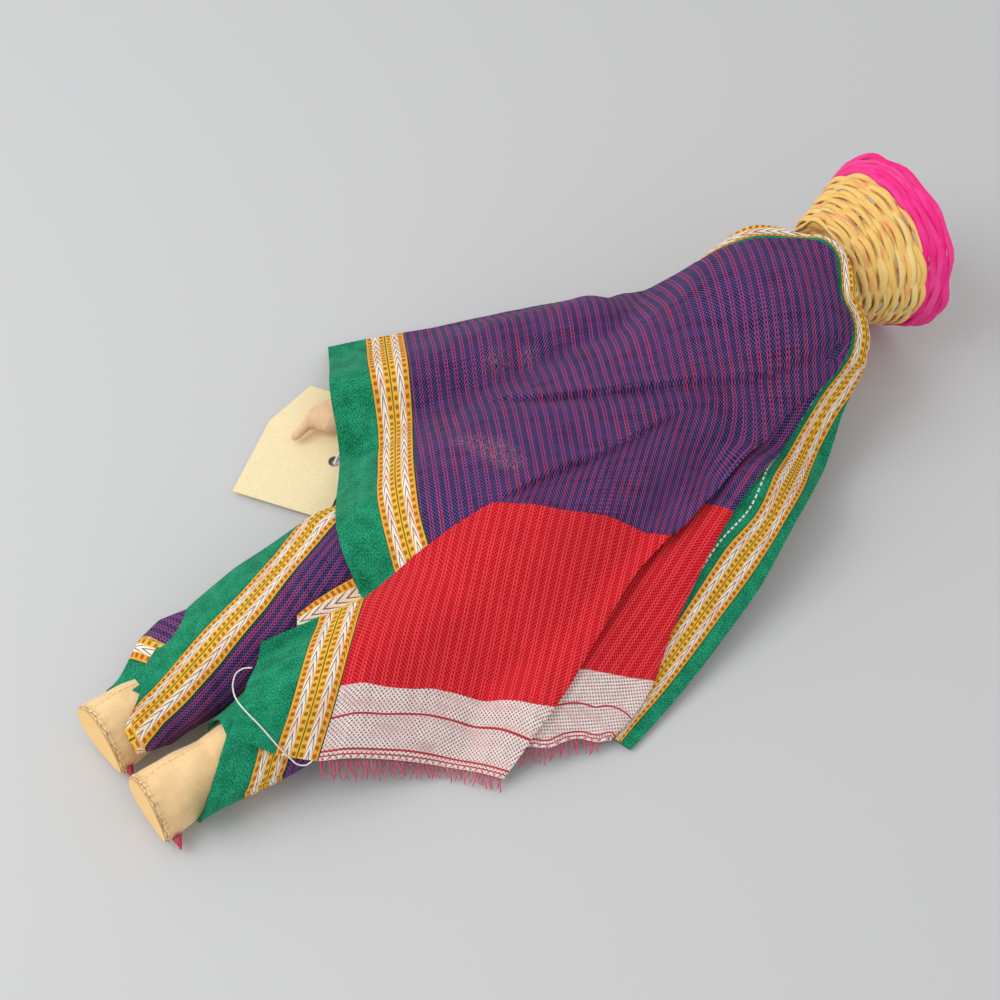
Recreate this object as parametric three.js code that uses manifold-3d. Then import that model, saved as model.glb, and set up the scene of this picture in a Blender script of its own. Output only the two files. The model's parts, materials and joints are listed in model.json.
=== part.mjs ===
import * as THREE from "three";
import { mergeVertices } from "three/addons/utils/BufferGeometryUtils.js";
import Module from "manifold-3d";

const wasm = await Module();
wasm.setup();

// A stuffed cloth doll in a wrapped sari, carrying a basket on its head and lying face down.
// Millimetres and degrees. X runs from the soles to the basket, Y is the doll's left, and the
// floor is Z = 0.

// Materials' thicknesses and clearances
const FIT = 0.3;
const LOOSE_FIT = 0.6;
const SKIN = 1;
const SARI = 1.2;
const BLOUSE = 0.8;
const HAIR = 1.2;
const CARD = 0.8;

// Torso: where each section lies along the body, and its full width and depth
const SEAT = { x: -5, width: 38, depth: 22 };
const BUTTOCKS = { x: -2, width: 46, depth: 28 };
const HIPS = { x: 6, width: 50, depth: 30 };
const WAIST = { x: 24, width: 36, depth: 24 };
const CHEST = { x: 40, width: 42, depth: 28 };
const SHOULDERS = { x: 51, width: 48, depth: 20 };
const NECK_BASE_X = 60;
const NECK_RADIUS = 7.5;
const NECK_HOLE_ANGLE = 70;

// Head, turned on the rounded end of the neck
const NECK_JOINT = new THREE.Vector3(69, 0, 18);
const NECK_SWING = 10;
const NECK_MOUTH = 12;
const NECK_EASE = 4;
const HEAD_RADIUS = 21.5;
const HEAD_REACH = 18;
const HEAD_SIDE = 2;
const NOSE_RADIUS = 2.6;
const NOSE_OUT = 1.3;
const NOSE_LIFT = 0.2;
const HAIRLINE_DROP = 3;
const HAIR_CROWN_GAP = 6;
const HAIR_NAPE_GAP = 6;

// Basket, seated on the crown and leaning towards the floor
const BASKET_HEIGHT = 24;
const BASKET_BASE_RADIUS = 17;
const BASKET_RIM_RADIUS = 25.5;
const BASKET_WALL = 1.6;
const BASKET_BASE = 1.4;
const BASKET_BAND = 8;
const BASKET_LIP = 0.5;
const BASKET_DIP = 5;
const BASKET_YAW = -4;
const BASKET_BACK = 6.7;
const BASKET_LEFT = 4.2;
const STAKES = 12;
const STAKE_WIDTH = 2;
const STAKE_THICK = 0.8;
const HUB_RADIUS = 9;

// Arms, each turned on its rounded shoulder
const ARM_LENGTH = 72;
const SHOULDER_RADIUS = 7.5;
const SHOULDER_OUT = 7.4;
const SHOULDER_Z = 15;
const ELBOW_PLACE = 36;
const ELBOW_RADIUS = 5.8;
const FOREARM_PLACE = 47;
const FOREARM_RADIUS = 5.6;
const WRIST_RADIUS = 4.4;
const LEFT_ARM_DROOP = 6;
const RIGHT_ARM_DROOP = 8;
const LEFT_ARM_SPREAD = 24;
const RIGHT_ARM_SPREAD = 6;
const RIGHT_ARM_SWING = 4;
const SLEEVE_START = 6;
const SLEEVE_LENGTH = 20;
const PALM = { along: 5.7, width: 10.4, thick: 6 };
const KNUCKLES = { along: 10.5, width: 9.4, thick: 5.4 };
const FINGERS = { along: 15.6, width: 4, thick: 4 };
const FINGERTIP = { along: 19, width: 2, thick: 2 };
const HAND_BEND = 26;
const THUMB_PLACE = 4.8;
const THUMB_LENGTH = 7;
const THUMB_RADIUS = 1.7;

// Legs, each turned on its rounded thigh
const LEG_LENGTH = 84;
const THIGH_RADIUS = 11;
const KNEE_PLACE = 38;
const KNEE_RADIUS = 8.6;
const CALF_PLACE = 52;
const CALF_RADIUS = 9.2;
const ANKLE_RADIUS = 7.4;
const HIP_JOINT_X = -14;
const HIP_JOINT_Y = 12.6;
const ANKLE_Y = 11.2;
const FOOT_LENGTH = 17;
const SOLE_LENGTH = 19;
const SOLE_WIDTH = 14;
const SOLE_POINT = 0.4;
const SOLE_Z = 8.3;
const FOOT_ROLL = 28;
const TOE_LENGTH = 4.5;
const TOE_RADIUS = 2;
const LEG_WRAP_START = 11.5;
const LEG_WRAP_CLEAR = 0.5;

// Sari wrapped round the hips, and the loose end that is drawn over back and head
const WAIST_WRAP = { low: -6, high: 24 };
const BLOUSE_SPAN = { low: 27, high: 56 };
const PALLU_CLEAR = 2.3;
const PALLU_LIFT = 1.6;
const PALLU_ROWS = 17;
const PALLU_COLUMNS = 27;
const FOLD_HEIGHT = 1.6;
const DRAPE_SOFTNESS = 1.6;
const HOOD_LAP = 4;

// Where the folds lie on the cloth, and how wide they are, as shares of its length and width
const HIP_FOLD = { along: 0.52, width: 0.08 };
const END_FOLD = { across: 0.72, width: 0.1 };

// How steeply the cloth falls from what it lies on
const SLOPE = { arm: 0.75, sleeve: 1, leg: 1, nape: 1.3, trunk: 1.4, head: 1.6 };

// The loose end's outline in plan, from its hem round by the cut end, with the hood's edge measured
// from the crown of the head
const HEM = [[-3, 81], [-16, 59], [-26, 41], [-40, 16], [-57, 13], [-73, 5], [-88, -7]];
const CUT_END = [[-79, -24], [-60, -37], [-43, -53], [-28, -58], [-14, -63]];
const LEFT_EDGE = [[18, 73], [40, 60], [62, 48], [78, 40]];
const HOOD_EDGE = [[-16.5, 29.5], [-1, 22], [HOOD_LAP, 10], [HOOD_LAP, -6], [1, -17], [-15.5, -27]];
const RIGHT_EDGE = [[69, -37], [42, -47], [17, -57]];

// Card tag on a string round the left wrist
const TAG_LENGTH = 39.4;
const TAG_WIDTH = 27;
const TAG_CLIP_LENGTH = 15;
const TAG_CLIP_WIDTH = 6;
const TAG_THICK = 0.4;
const TAG_Z = 1.2;
const TAG_TURN = 33.4;
const TAG_CORNER = new THREE.Vector2(-50.3, 57.5);
const TAG_HOLE = new THREE.Vector2(18, 22.2);
const TAG_HOLE_RADIUS = 1.8;
const STRING_RADIUS = 0.35;
const STRING_ARM_PLACE = 66;
const STRING_LOOP = { points: 10, start: 75, turn: 33, drift: 0.09 };
const THREAD_RADIUS = 0.25;

// Facets round each kind of piece
const BODY_SIDES = 20;
const LEG_SIDES = 16;
const SOCKET_SIDES = 14;
const ARM_SIDES = 12;
const BASKET_SIDES = 28;
const NOSE_SIDES = 16;
const CORD_SIDES = 8;
const TORSO_STEPS = 12;
const LIMB_STEPS = 5;
const DOME_STEPS = 3;
const DOME_ANGLE = 65;
const BALL_ROWS_PER_SIDE = 0.6;
const INSTEP_SHARES = [0.35, 0.75];
const THUMB_END_STEPS = 3;
const TAG_HOLE_STEPS = 6;
const STRING_STEPS = 28;
const THREAD_STEPS = 36;
const MERGE_DISTANCE = 1e-4;

const rad = THREE.MathUtils.degToRad;
const lerp = THREE.MathUtils.lerp;

// Places worked out from the sizes above
const LAY_Z = HIPS.depth / 2 + FIT + SARI;
const HEAD = new THREE.Vector3(NECK_JOINT.x + HEAD_REACH, HEAD_SIDE, HEAD_RADIUS + NOSE_OUT + NOSE_LIFT);
const SHOULDER_Y = SHOULDERS.width / 2 + SHOULDER_OUT;
const HIP_JOINT_Z = THIGH_RADIUS + FIT + SARI;
const ANKLE_Z = CALF_RADIUS + FIT + SARI;
const ANKLE_X = HIP_JOINT_X - LEG_LENGTH;
const FOOT_X = ANKLE_X - FIT;
const SOLE_X = FOOT_X - FOOT_LENGTH - FIT;

const DYES = {
  skin: { color: 0xdcae91, roughness: 0.85, metalness: 0 },
  muslin: { color: 0xd8b483, roughness: 0.9, metalness: 0 },
  stuffing: { color: 0xf1ece0, roughness: 1, metalness: 0 },
  hair: { color: 0x17120f, roughness: 0.7, metalness: 0 },
  sari: { color: 0x3c285f, roughness: 0.8, metalness: 0 },
  border: { color: 0x0d7d55, roughness: 0.8, metalness: 0 },
  blouse: { color: 0x0b6b49, roughness: 0.85, metalness: 0 },
  straw: { color: 0xe1b45f, roughness: 0.7, metalness: 0 },
  pinkStraw: { color: 0xeb1482, roughness: 0.7, metalness: 0 },
  card: { color: 0xf5e1b4, roughness: 0.8, metalness: 0 },
  sole: { color: 0xfacd7d, roughness: 0.8, metalness: 0 },
  toe: { color: 0xd4284e, roughness: 0.85, metalness: 0 },
  thread: { color: 0xf2efe6, roughness: 0.9, metalness: 0 },
};

const doll = new THREE.Group();

function place(name, geometry, dye, parent = doll) {
  const mesh = new THREE.Mesh(geometry, new THREE.MeshStandardMaterial(DYES[dye]));
  mesh.name = name;
  parent.add(mesh);
  return mesh;
}

// Builds a closed geometry and turns its faces outwards.
function closedBody(points, faces) {
  const sixVolumes = faces.map(([a, b, c]) => points[a].dot(points[b].clone().cross(points[c])));
  const volume = sixVolumes.reduce((sum, part) => sum + part, 0);
  const outward = volume > 0 ? faces : faces.map(([a, b, c]) => [a, c, b]);
  const geometry = new THREE.BufferGeometry().setFromPoints(points);
  geometry.setIndex(outward.flat());
  geometry.computeVertexNormals();
  return geometry;
}

// An ellipse square to X.
function ring(x, y, z, halfWidth, halfDepth, sides) {
  return Array.from({ length: sides }, (_, i) => {
    const angle = (2 * Math.PI * i) / sides;
    return new THREE.Vector3(x, y + halfWidth * Math.cos(angle), z + halfDepth * Math.sin(angle));
  });
}

function middleOf(points) {
  const sum = points.reduce((total, point) => total.add(point), new THREE.Vector3());
  return sum.divideScalar(points.length);
}

// A skin over a row of rings, capped at both ends, or joined end to end when it is hollow through.
function loft(rings, hollow = false) {
  const sides = rings[0].length;
  const points = rings.flat();
  const faces = [];
  const strips = hollow ? rings.length : rings.length - 1;
  for (let row = 0; row < strips; row += 1) {
    const next = (row + 1) % rings.length;
    for (let side = 0; side < sides; side += 1) {
      const turn = (side + 1) % sides;
      const [a, b] = [row * sides + side, row * sides + turn];
      const [c, d] = [next * sides + side, next * sides + turn];
      faces.push([a, b, c], [b, d, c]);
    }
  }
  if (!hollow) {
    const first = points.push(middleOf(rings[0])) - 1;
    const last = points.push(middleOf(rings.at(-1))) - 1;
    const start = (rings.length - 1) * sides;
    for (let side = 0; side < sides; side += 1) {
      const turn = (side + 1) % sides;
      faces.push([turn, side, first], [start + side, start + turn, last]);
    }
  }
  return closedBody(points, faces);
}

// A bag: outer rings from its closed end to its mouth, then inner rings back again.
function bag(outer, inner) {
  return loft([...outer, ...inner.toReversed()]);
}

function sleeve(outer, inner) {
  return loft([...outer, ...inner.toReversed()], true);
}

// A cloth of even thickness under a grid of points on its upper face.
function sheet(rows, thickness) {
  const columns = rows[0].length;
  const top = rows.flat();
  const under = top.length;
  const points = [...top, ...top.map((p) => new THREE.Vector3(p.x, p.y, p.z - thickness))];
  const faces = [];
  for (let row = 0; row + 1 < rows.length; row += 1) {
    for (let column = 0; column + 1 < columns; column += 1) {
      const a = row * columns + column;
      const [b, c, d] = [a + 1, a + columns, a + columns + 1];
      faces.push([a, b, c], [b, d, c]);
      faces.push([a + under, c + under, b + under], [b + under, c + under, d + under]);
    }
  }
  const lastRow = (rows.length - 1) * columns;
  const across = [...Array(columns).keys()];
  const along = [...Array(rows.length).keys()].map((row) => row * columns);
  const edge = [
    ...across,
    ...along.slice(1).map((start) => start + columns - 1),
    ...across.toReversed().slice(1).map((column) => lastRow + column),
    ...along.toReversed().slice(1, -1),
  ];
  edge.forEach((a, i) => {
    const b = edge[(i + 1) % edge.length];
    faces.push([b, a, a + under], [b, a + under, b + under]);
  });
  return closedBody(points, faces);
}

function mergedBody(geometry) {
  const bare = geometry.clone();
  bare.deleteAttribute("normal");
  bare.deleteAttribute("uv");
  return mergeVertices(bare, MERGE_DISTANCE);
}

// A profile of [along, radius] pairs turned round X.
function turned(profile, sides) {
  const outline = profile.map(([along, radius]) => new THREE.Vector2(radius, along));
  const merged = mergedBody(new THREE.LatheGeometry(outline, sides).rotateZ(-Math.PI / 2));
  const corners = merged.attributes.position;
  const points = Array.from({ length: corners.count }, (_, i) => {
    return new THREE.Vector3().fromBufferAttribute(corners, i);
  });
  const index = [...merged.index.array];
  const faces = [];
  for (let i = 0; i < index.length; i += 3) {
    const face = index.slice(i, i + 3);
    if (new Set(face).size === 3) faces.push(face);
  }
  return closedBody(points, faces);
}

function toSolid(geometry) {
  const merged = mergedBody(geometry);
  const vertProperties = Float32Array.from(merged.attributes.position.array);
  const triVerts = Uint32Array.from(merged.index.array);
  return new wasm.Manifold(new wasm.Mesh({ numProp: 3, vertProperties, triVerts }));
}

function toGeometry(solid) {
  const mesh = solid.getMesh();
  const geometry = new THREE.BufferGeometry();
  geometry.setAttribute("position", new THREE.BufferAttribute(mesh.vertProperties, 3));
  geometry.setIndex(new THREE.BufferAttribute(mesh.triVerts, 1));
  geometry.computeVertexNormals();
  return geometry;
}

function cut(geometry, ...tools) {
  const left = tools.reduce((solid, tool) => solid.subtract(toSolid(tool)), toSolid(geometry));
  return toGeometry(left);
}

function join(...geometries) {
  const [first, ...rest] = geometries.map(toSolid);
  return toGeometry(rest.reduce((solid, next) => solid.add(next), first));
}

function keepInside(geometry, tool) {
  return toGeometry(toSolid(geometry).intersect(toSolid(tool)));
}

function ball(radius, centre, sides = BODY_SIDES) {
  const geometry = new THREE.SphereGeometry(radius, sides, Math.round(sides * BALL_ROWS_PER_SIDE));
  return geometry.translate(centre.x, centre.y, centre.z);
}

// A round cord along a smooth curve through points.
function cord(points, radius, steps) {
  const section = new THREE.Shape();
  const corners = Array.from({ length: CORD_SIDES }, (_, i) => (2 * Math.PI * i) / CORD_SIDES);
  section.setFromPoints(corners.map((a) => new THREE.Vector2(radius * Math.cos(a), radius * Math.sin(a))));
  const extrudePath = new THREE.CatmullRomCurve3(points);
  return mergedBody(new THREE.ExtrudeGeometry(section, { steps, extrudePath }));
}

// Torso

const neckSection = { width: 2 * NECK_RADIUS, depth: 2 * NECK_RADIUS };
const TORSO_SECTIONS = [
  SEAT, BUTTOCKS, HIPS, WAIST, CHEST, SHOULDERS,
  { x: NECK_BASE_X, ...neckSection }, { x: NECK_JOINT.x, ...neckSection },
];
const torsoCurve = new THREE.CatmullRomCurve3(
  TORSO_SECTIONS.map((s) => new THREE.Vector3(s.x, s.width / 2, s.depth / 2)),
);
const torsoStations = torsoCurve.getPoints(TORSO_STEPS);

function torsoAxisZ(x) {
  const along = THREE.MathUtils.clamp((x - CHEST.x) / (NECK_JOINT.x - CHEST.x), 0, 1);
  return lerp(LAY_Z, NECK_JOINT.z, along);
}

// The torso's rings, drawn in or let out by an amount, up to the rounded end of the neck.
function torsoRings(grow) {
  const trunk = torsoStations.map((s) => {
    const x = Math.max(s.x, SEAT.x - grow);
    return ring(x, 0, torsoAxisZ(x), s.y + grow, s.z + grow, BODY_SIDES);
  });
  const radius = NECK_RADIUS + grow;
  const dome = Array.from({ length: DOME_STEPS }, (_, i) => {
    const angle = rad((NECK_HOLE_ANGLE * (i + 1)) / DOME_STEPS);
    const across = radius * Math.cos(angle);
    return ring(NECK_JOINT.x + radius * Math.sin(angle), 0, NECK_JOINT.z, across, across, BODY_SIDES);
  });
  return [...trunk, ...dome];
}

const SIDES = [
  { name: "left", hand: 1, spread: LEFT_ARM_SPREAD, droop: LEFT_ARM_DROOP },
  { name: "right", hand: -1, spread: RIGHT_ARM_SPREAD, droop: RIGHT_ARM_DROOP },
];
const [LEFT, RIGHT] = SIDES;
const shoulderAt = (hand) => new THREE.Vector3(SHOULDERS.x, hand * SHOULDER_Y, SHOULDER_Z);
const hipAt = (hand) => new THREE.Vector3(HIP_JOINT_X, hand * HIP_JOINT_Y, HIP_JOINT_Z);

function limbSockets(gap) {
  return SIDES.flatMap(({ hand }) => [
    ball(THIGH_RADIUS + gap, hipAt(hand), SOCKET_SIDES),
    ball(SHOULDER_RADIUS + gap, shoulderAt(hand), SOCKET_SIDES),
  ]);
}

function addTorso() {
  const skin = bag(torsoRings(0), torsoRings(-SKIN));
  const stuffing = loft(torsoRings(-SKIN - LOOSE_FIT));
  place("torso_skin", cut(skin, ...limbSockets(LOOSE_FIT)), "muslin");
  place("torso_stuffing", cut(stuffing, ...limbSockets(LOOSE_FIT + SKIN)), "stuffing");
}

// The faceted section at x between a row of stations.
function sectionAt(stations, x) {
  const after = Math.max(1, stations.findIndex((station) => station.x >= x));
  const [low, high] = [stations[after - 1], stations[after]];
  return new THREE.Vector3().lerpVectors(low, high, (x - low.x) / (high.x - low.x));
}

// A cloth band that follows the torso from low to high, hanging straight below the hips.
function torsoBand({ low, high }, gap, thickness) {
  const seat = torsoStations.filter((s) => s.x < WAIST.x);
  const widest = seat.reduce((most, s) => (s.y > most.y ? s : most));
  const start = sectionAt(torsoStations, Math.max(low, widest.x));
  const first = low < widest.x ? [start.clone().setX(low), start] : [start];
  const between = torsoStations.filter((s) => s.x > start.x && s.x < high);
  const rings = (grow) => [...first, ...between, sectionAt(torsoStations, high)].map((s) => {
    return ring(s.x, 0, torsoAxisZ(s.x), s.y + grow, s.z + grow, BODY_SIDES);
  });
  return sleeve(rings(gap + thickness), rings(gap));
}

function addBodyClothes() {
  place("sari_waist", torsoBand(WAIST_WRAP, FIT, SARI), "sari");
  const sleeveCorner = Math.hypot(SLEEVE_START, SHOULDER_RADIUS + FIT + BLOUSE);
  const armholes = SIDES.map(({ hand }) => ball(sleeveCorner + LOOSE_FIT, shoulderAt(hand), SOCKET_SIDES));
  place("blouse", cut(torsoBand(BLOUSE_SPAN, LOOSE_FIT, BLOUSE), ...armholes), "blouse");
}

// Head and basket

function neckSocket(gap) {
  const radius = NECK_RADIUS + gap;
  const mouth = radius + NECK_MOUTH * Math.tan(rad(NECK_SWING + NECK_EASE));
  const cone = turned([[0, 0], [0, mouth], [NECK_MOUTH, radius], [NECK_MOUTH, 0]], SOCKET_SIDES);
  cone.translate(NECK_JOINT.x - NECK_MOUTH, NECK_JOINT.y, NECK_JOINT.z);
  return join(ball(radius, NECK_JOINT, SOCKET_SIDES), cone);
}

function addHead() {
  const noseAt = new THREE.Vector3(HEAD.x, HEAD.y, HEAD.z - HEAD_RADIUS - NOSE_OUT + NOSE_RADIUS);
  const face = join(ball(HEAD_RADIUS, HEAD), ball(NOSE_RADIUS, noseAt, NOSE_SIDES));
  place("head_skin", cut(face, ball(HEAD_RADIUS - SKIN, HEAD), neckSocket(LOOSE_FIT)), "skin");
  const core = ball(HEAD_RADIUS - SKIN - LOOSE_FIT, HEAD);
  place("head_stuffing", cut(core, neckSocket(LOOSE_FIT)), "stuffing");

  const low = HEAD.x - HEAD_RADIUS + HAIR_NAPE_GAP;
  const high = HEAD.x + HEAD_RADIUS - HAIR_CROWN_GAP;
  const wide = 3 * HEAD_RADIUS;
  const cap = new THREE.BoxGeometry(high - low, wide, wide);
  cap.translate((low + high) / 2, HEAD.y, HEAD.z - HAIRLINE_DROP + wide / 2);
  const shell = cut(ball(HEAD_RADIUS + FIT + HAIR, HEAD), ball(HEAD_RADIUS + FIT, HEAD));
  place("hair", keepInside(shell, cap), "hair");
}

function basketRadius(height) {
  return lerp(BASKET_BASE_RADIUS, BASKET_RIM_RADIUS, height / BASKET_HEIGHT);
}

function basketShell(low, high, thickness, proud) {
  const corners = [
    [low, basketRadius(low) - thickness], [low, basketRadius(low) + proud],
    [high, basketRadius(high) + proud], [high, basketRadius(high) - thickness],
  ];
  return turned([...corners, corners[0]], BASKET_SIDES);
}

// Flat strips from the hub out over the base and up inside the wall.
function basketStakes() {
  const low = BASKET_BASE + FIT;
  const high = BASKET_HEIGHT - BASKET_LIP;
  const inset = BASKET_WALL + FIT + STAKE_THICK;
  const foot = basketRadius(low) - inset;
  const rise = high - low;
  const spread = basketRadius(high) - basketRadius(low);
  const hub = turned([[0, 0], [0, HUB_RADIUS], [STAKE_THICK, HUB_RADIUS], [STAKE_THICK, 0]], BASKET_SIDES);
  const strips = Array.from({ length: STAKES }, (_, i) => {
    const upright = new THREE.BoxGeometry(Math.hypot(rise, spread), STAKE_WIDTH, STAKE_THICK);
    upright.rotateY(-Math.atan2(spread, rise));
    upright.translate(rise / 2, 0, foot + spread / 2 + STAKE_THICK / 2);
    const spoke = new THREE.BoxGeometry(STAKE_THICK, STAKE_WIDTH, foot + STAKE_THICK / 2);
    spoke.translate(STAKE_THICK / 2, 0, foot / 2 + STAKE_THICK / 4);
    return join(upright, spoke).rotateX((2 * Math.PI * i) / STAKES);
  });
  return join(hub, ...strips).translate(low, 0, 0);
}

const basketTurn = new THREE.Euler(0, rad(BASKET_DIP), rad(BASKET_YAW), "ZYX");

// A place on the basket's axis, at a height above the underside of its base.
function basketPlace(height) {
  const out = new THREE.Vector3(HEAD_RADIUS + FIT + height, BASKET_LEFT, BASKET_BACK);
  return out.applyEuler(basketTurn).add(HEAD);
}

function addBasket() {
  const basket = new THREE.Group();
  basket.position.copy(HEAD);
  basket.rotation.copy(basketTurn);
  const seat = new THREE.Group();
  seat.position.set(HEAD_RADIUS + FIT, BASKET_LEFT, BASKET_BACK);
  basket.add(seat);
  doll.add(basket);

  const baseRadius = basketRadius(0) - BASKET_WALL - FIT;
  const base = [[0, 0], [0, baseRadius], [BASKET_BASE, baseRadius], [BASKET_BASE, 0]];
  const bandLow = BASKET_HEIGHT - BASKET_BAND;
  place("basket_base", turned(base, BASKET_SIDES), "straw", seat);
  place("basket_stakes", basketStakes(), "straw", seat);
  place("basket_wall", basketShell(0, bandLow - FIT, BASKET_WALL, 0), "straw", seat);
  place("basket_rim", basketShell(bandLow, BASKET_HEIGHT, BASKET_WALL, BASKET_LIP), "pinkStraw", seat);
}

// Arms

const armCurve = new THREE.CatmullRomCurve3([
  new THREE.Vector3(0, SHOULDER_RADIUS, 0),
  new THREE.Vector3(ELBOW_PLACE, ELBOW_RADIUS, 0),
  new THREE.Vector3(FOREARM_PLACE, FOREARM_RADIUS, 0),
  new THREE.Vector3(ARM_LENGTH, WRIST_RADIUS, 0),
]);

// Rings from the rounded top of a limb to its open end, drawn in by an inset.
function limbRings(curve, inset, sides, at) {
  const shaft = curve.getPoints(LIMB_STEPS);
  const top = shaft[0].y - inset;
  const dome = Array.from({ length: DOME_STEPS }, (_, i) => {
    const angle = rad((DOME_ANGLE * (DOME_STEPS - i)) / DOME_STEPS);
    return at(-top * Math.sin(angle), top * Math.cos(angle), sides);
  });
  return [...dome, ...shaft.map((s) => at(s.x, s.y - inset, sides))];
}

const straight = (x, radius, sides) => ring(x, 0, 0, radius, radius, sides);

function armSleeve() {
  const end = SLEEVE_START + SLEEVE_LENGTH;
  const rings = (grow) => [
    straight(SLEEVE_START, SHOULDER_RADIUS + grow, ARM_SIDES),
    straight(end, SHOULDER_RADIUS + grow, ARM_SIDES),
  ];
  return sleeve(rings(FIT + BLOUSE), rings(FIT));
}

// A mitten hand that bends towards the body, with a thumb.
function handShape(hand) {
  const wrist = { along: 0, width: 2 * WRIST_RADIUS - FIT, thick: 2 * WRIST_RADIUS - FIT };
  const rings = [wrist, PALM, KNUCKLES, FINGERS, FINGERTIP].map(({ along, width, thick }) => {
    const turn = (rad(HAND_BEND) * hand * along) / FINGERTIP.along;
    return ring(0, 0, 0, width / 2, thick / 2, ARM_SIDES).map((point) => {
      point.applyAxisAngle(new THREE.Vector3(0, 0, 1), turn);
      return point.add(new THREE.Vector3(along * Math.cos(turn / 2), along * Math.sin(turn / 2), 0));
    });
  });
  const thumb = new THREE.CapsuleGeometry(THUMB_RADIUS, THUMB_LENGTH, THUMB_END_STEPS, CORD_SIDES);
  thumb.rotateZ(-Math.PI / 2).translate(THUMB_LENGTH / 2, 0, 0);
  thumb.rotateZ(rad(HAND_BEND) * hand);
  thumb.translate(THUMB_PLACE, (hand * (PALM.width - THUMB_RADIUS)) / 2, 0);
  return join(loft(rings), thumb);
}

function addArm({ name, hand, spread, droop }) {
  const arm = new THREE.Group();
  arm.position.copy(shoulderAt(hand));
  arm.rotation.set(0, rad(droop), rad(180 - hand * spread), "ZYX");
  doll.add(arm);
  const outer = limbRings(armCurve, 0, ARM_SIDES, straight);
  const inner = limbRings(armCurve, SKIN, ARM_SIDES, straight);
  place(`${name}_arm`, bag(outer, inner), "skin", arm);
  const core = limbRings(armCurve, SKIN + LOOSE_FIT, ARM_SIDES, straight);
  place(`${name}_arm_stuffing`, loft(core), "stuffing", arm);
  place(`${name}_sleeve`, armSleeve(), "blouse", arm);
  const palm = handShape(hand).translate(ARM_LENGTH + FIT, 0, 0);
  place(`${name}_hand`, palm, "skin", arm);
}

// Legs

const legCurve = new THREE.CatmullRomCurve3([
  new THREE.Vector3(0, THIGH_RADIUS, 0),
  new THREE.Vector3(KNEE_PLACE, KNEE_RADIUS, 0),
  new THREE.Vector3(CALF_PLACE, CALF_RADIUS, 0),
  new THREE.Vector3(LEG_LENGTH, ANKLE_RADIUS, 0),
]);

// A ring of the leg at a distance below the hip joint.
function legRing(hand) {
  return (down, radius, sides) => {
    const share = THREE.MathUtils.clamp(down / LEG_LENGTH, 0, 1);
    const y = hand * lerp(HIP_JOINT_Y, ANKLE_Y, share);
    const z = lerp(HIP_JOINT_Z, ANKLE_Z, share);
    return ring(HIP_JOINT_X - down, y, z, radius, radius, sides);
  };
}

function legWrap(hand) {
  const at = legRing(hand);
  const stations = legCurve.getPoints(LIMB_STEPS);
  const start = sectionAt(stations, LEG_WRAP_START);
  const wrapped = [start, ...stations.filter((s) => s.x > start.x)];
  const rings = (grow) => wrapped.map((s) => at(s.x - LEG_WRAP_CLEAR, s.y + grow, LEG_SIDES));
  return sleeve(rings(FIT + SARI), rings(FIT));
}

// The sole's outline: round at the heel, drawn to a point at the toe, rolled over to one side.
function soleRing(x, hand, scale) {
  const roll = rad(180 + FOOT_ROLL);
  return Array.from({ length: LEG_SIDES }, (_, i) => {
    const angle = (2 * Math.PI * i) / LEG_SIDES - roll;
    const along = (scale * SOLE_LENGTH * Math.cos(angle)) / 2;
    const across = ((scale * SOLE_WIDTH * Math.sin(angle)) / 2) * (1 - SOLE_POINT * Math.cos(angle));
    const y = along * Math.cos(roll) - across * Math.sin(roll);
    const z = along * Math.sin(roll) + across * Math.cos(roll);
    return new THREE.Vector3(x, hand * ANKLE_Y + y, SOLE_Z + z);
  });
}

function footShape(hand) {
  const ankle = ring(FOOT_X, hand * ANKLE_Y, ANKLE_Z, ANKLE_RADIUS, ANKLE_RADIUS, LEG_SIDES);
  const sole = soleRing(FOOT_X - FOOT_LENGTH, hand, 1);
  const between = INSTEP_SHARES.map((share) => ankle.map((point, i) => {
    const swell = Math.sin((share * Math.PI) / 2);
    return new THREE.Vector3().lerpVectors(point, sole[i], swell).setX(FOOT_X - FOOT_LENGTH * share);
  }));
  return loft([ankle, ...between, sole]);
}

// A folded point of red cloth at the toe, just above the sole.
function toePoint(hand) {
  const roll = rad(180 + FOOT_ROLL);
  const cone = new THREE.ConeGeometry(TOE_RADIUS, TOE_LENGTH, CORD_SIDES);
  cone.rotateZ(-Math.PI / 2).translate(SOLE_LENGTH / 2 + FIT + TOE_LENGTH / 2, 0, 0);
  const toeY = Math.cos(roll);
  const toeZ = Math.sin(roll);
  const basis = new THREE.Matrix4().makeBasis(
    new THREE.Vector3(0, toeY, toeZ),
    new THREE.Vector3(0, -toeZ, toeY),
    new THREE.Vector3(1, 0, 0),
  );
  cone.applyMatrix4(basis);
  return cone.translate(FOOT_X - FOOT_LENGTH + TOE_RADIUS, hand * ANKLE_Y, SOLE_Z);
}

function addLeg({ name, hand }) {
  const at = legRing(hand);
  const outer = limbRings(legCurve, 0, LEG_SIDES, at);
  const inner = limbRings(legCurve, SKIN, LEG_SIDES, at);
  place(`${name}_leg`, bag(outer, inner), "muslin");
  place(`${name}_leg_stuffing`, loft(limbRings(legCurve, SKIN + LOOSE_FIT, LEG_SIDES, at)), "stuffing");
  place(`${name}_leg_wrap`, legWrap(hand), "border");
  place(`${name}_foot`, footShape(hand), "muslin");
  const sole = [SOLE_X, SOLE_X - CARD].map((x) => soleRing(x, hand, 1));
  place(`${name}_sole`, loft(sole), "sole");
  place(`${name}_toe_point`, toePoint(hand), "toe");
}

// The loose end of the sari, lying over everything under it

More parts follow.
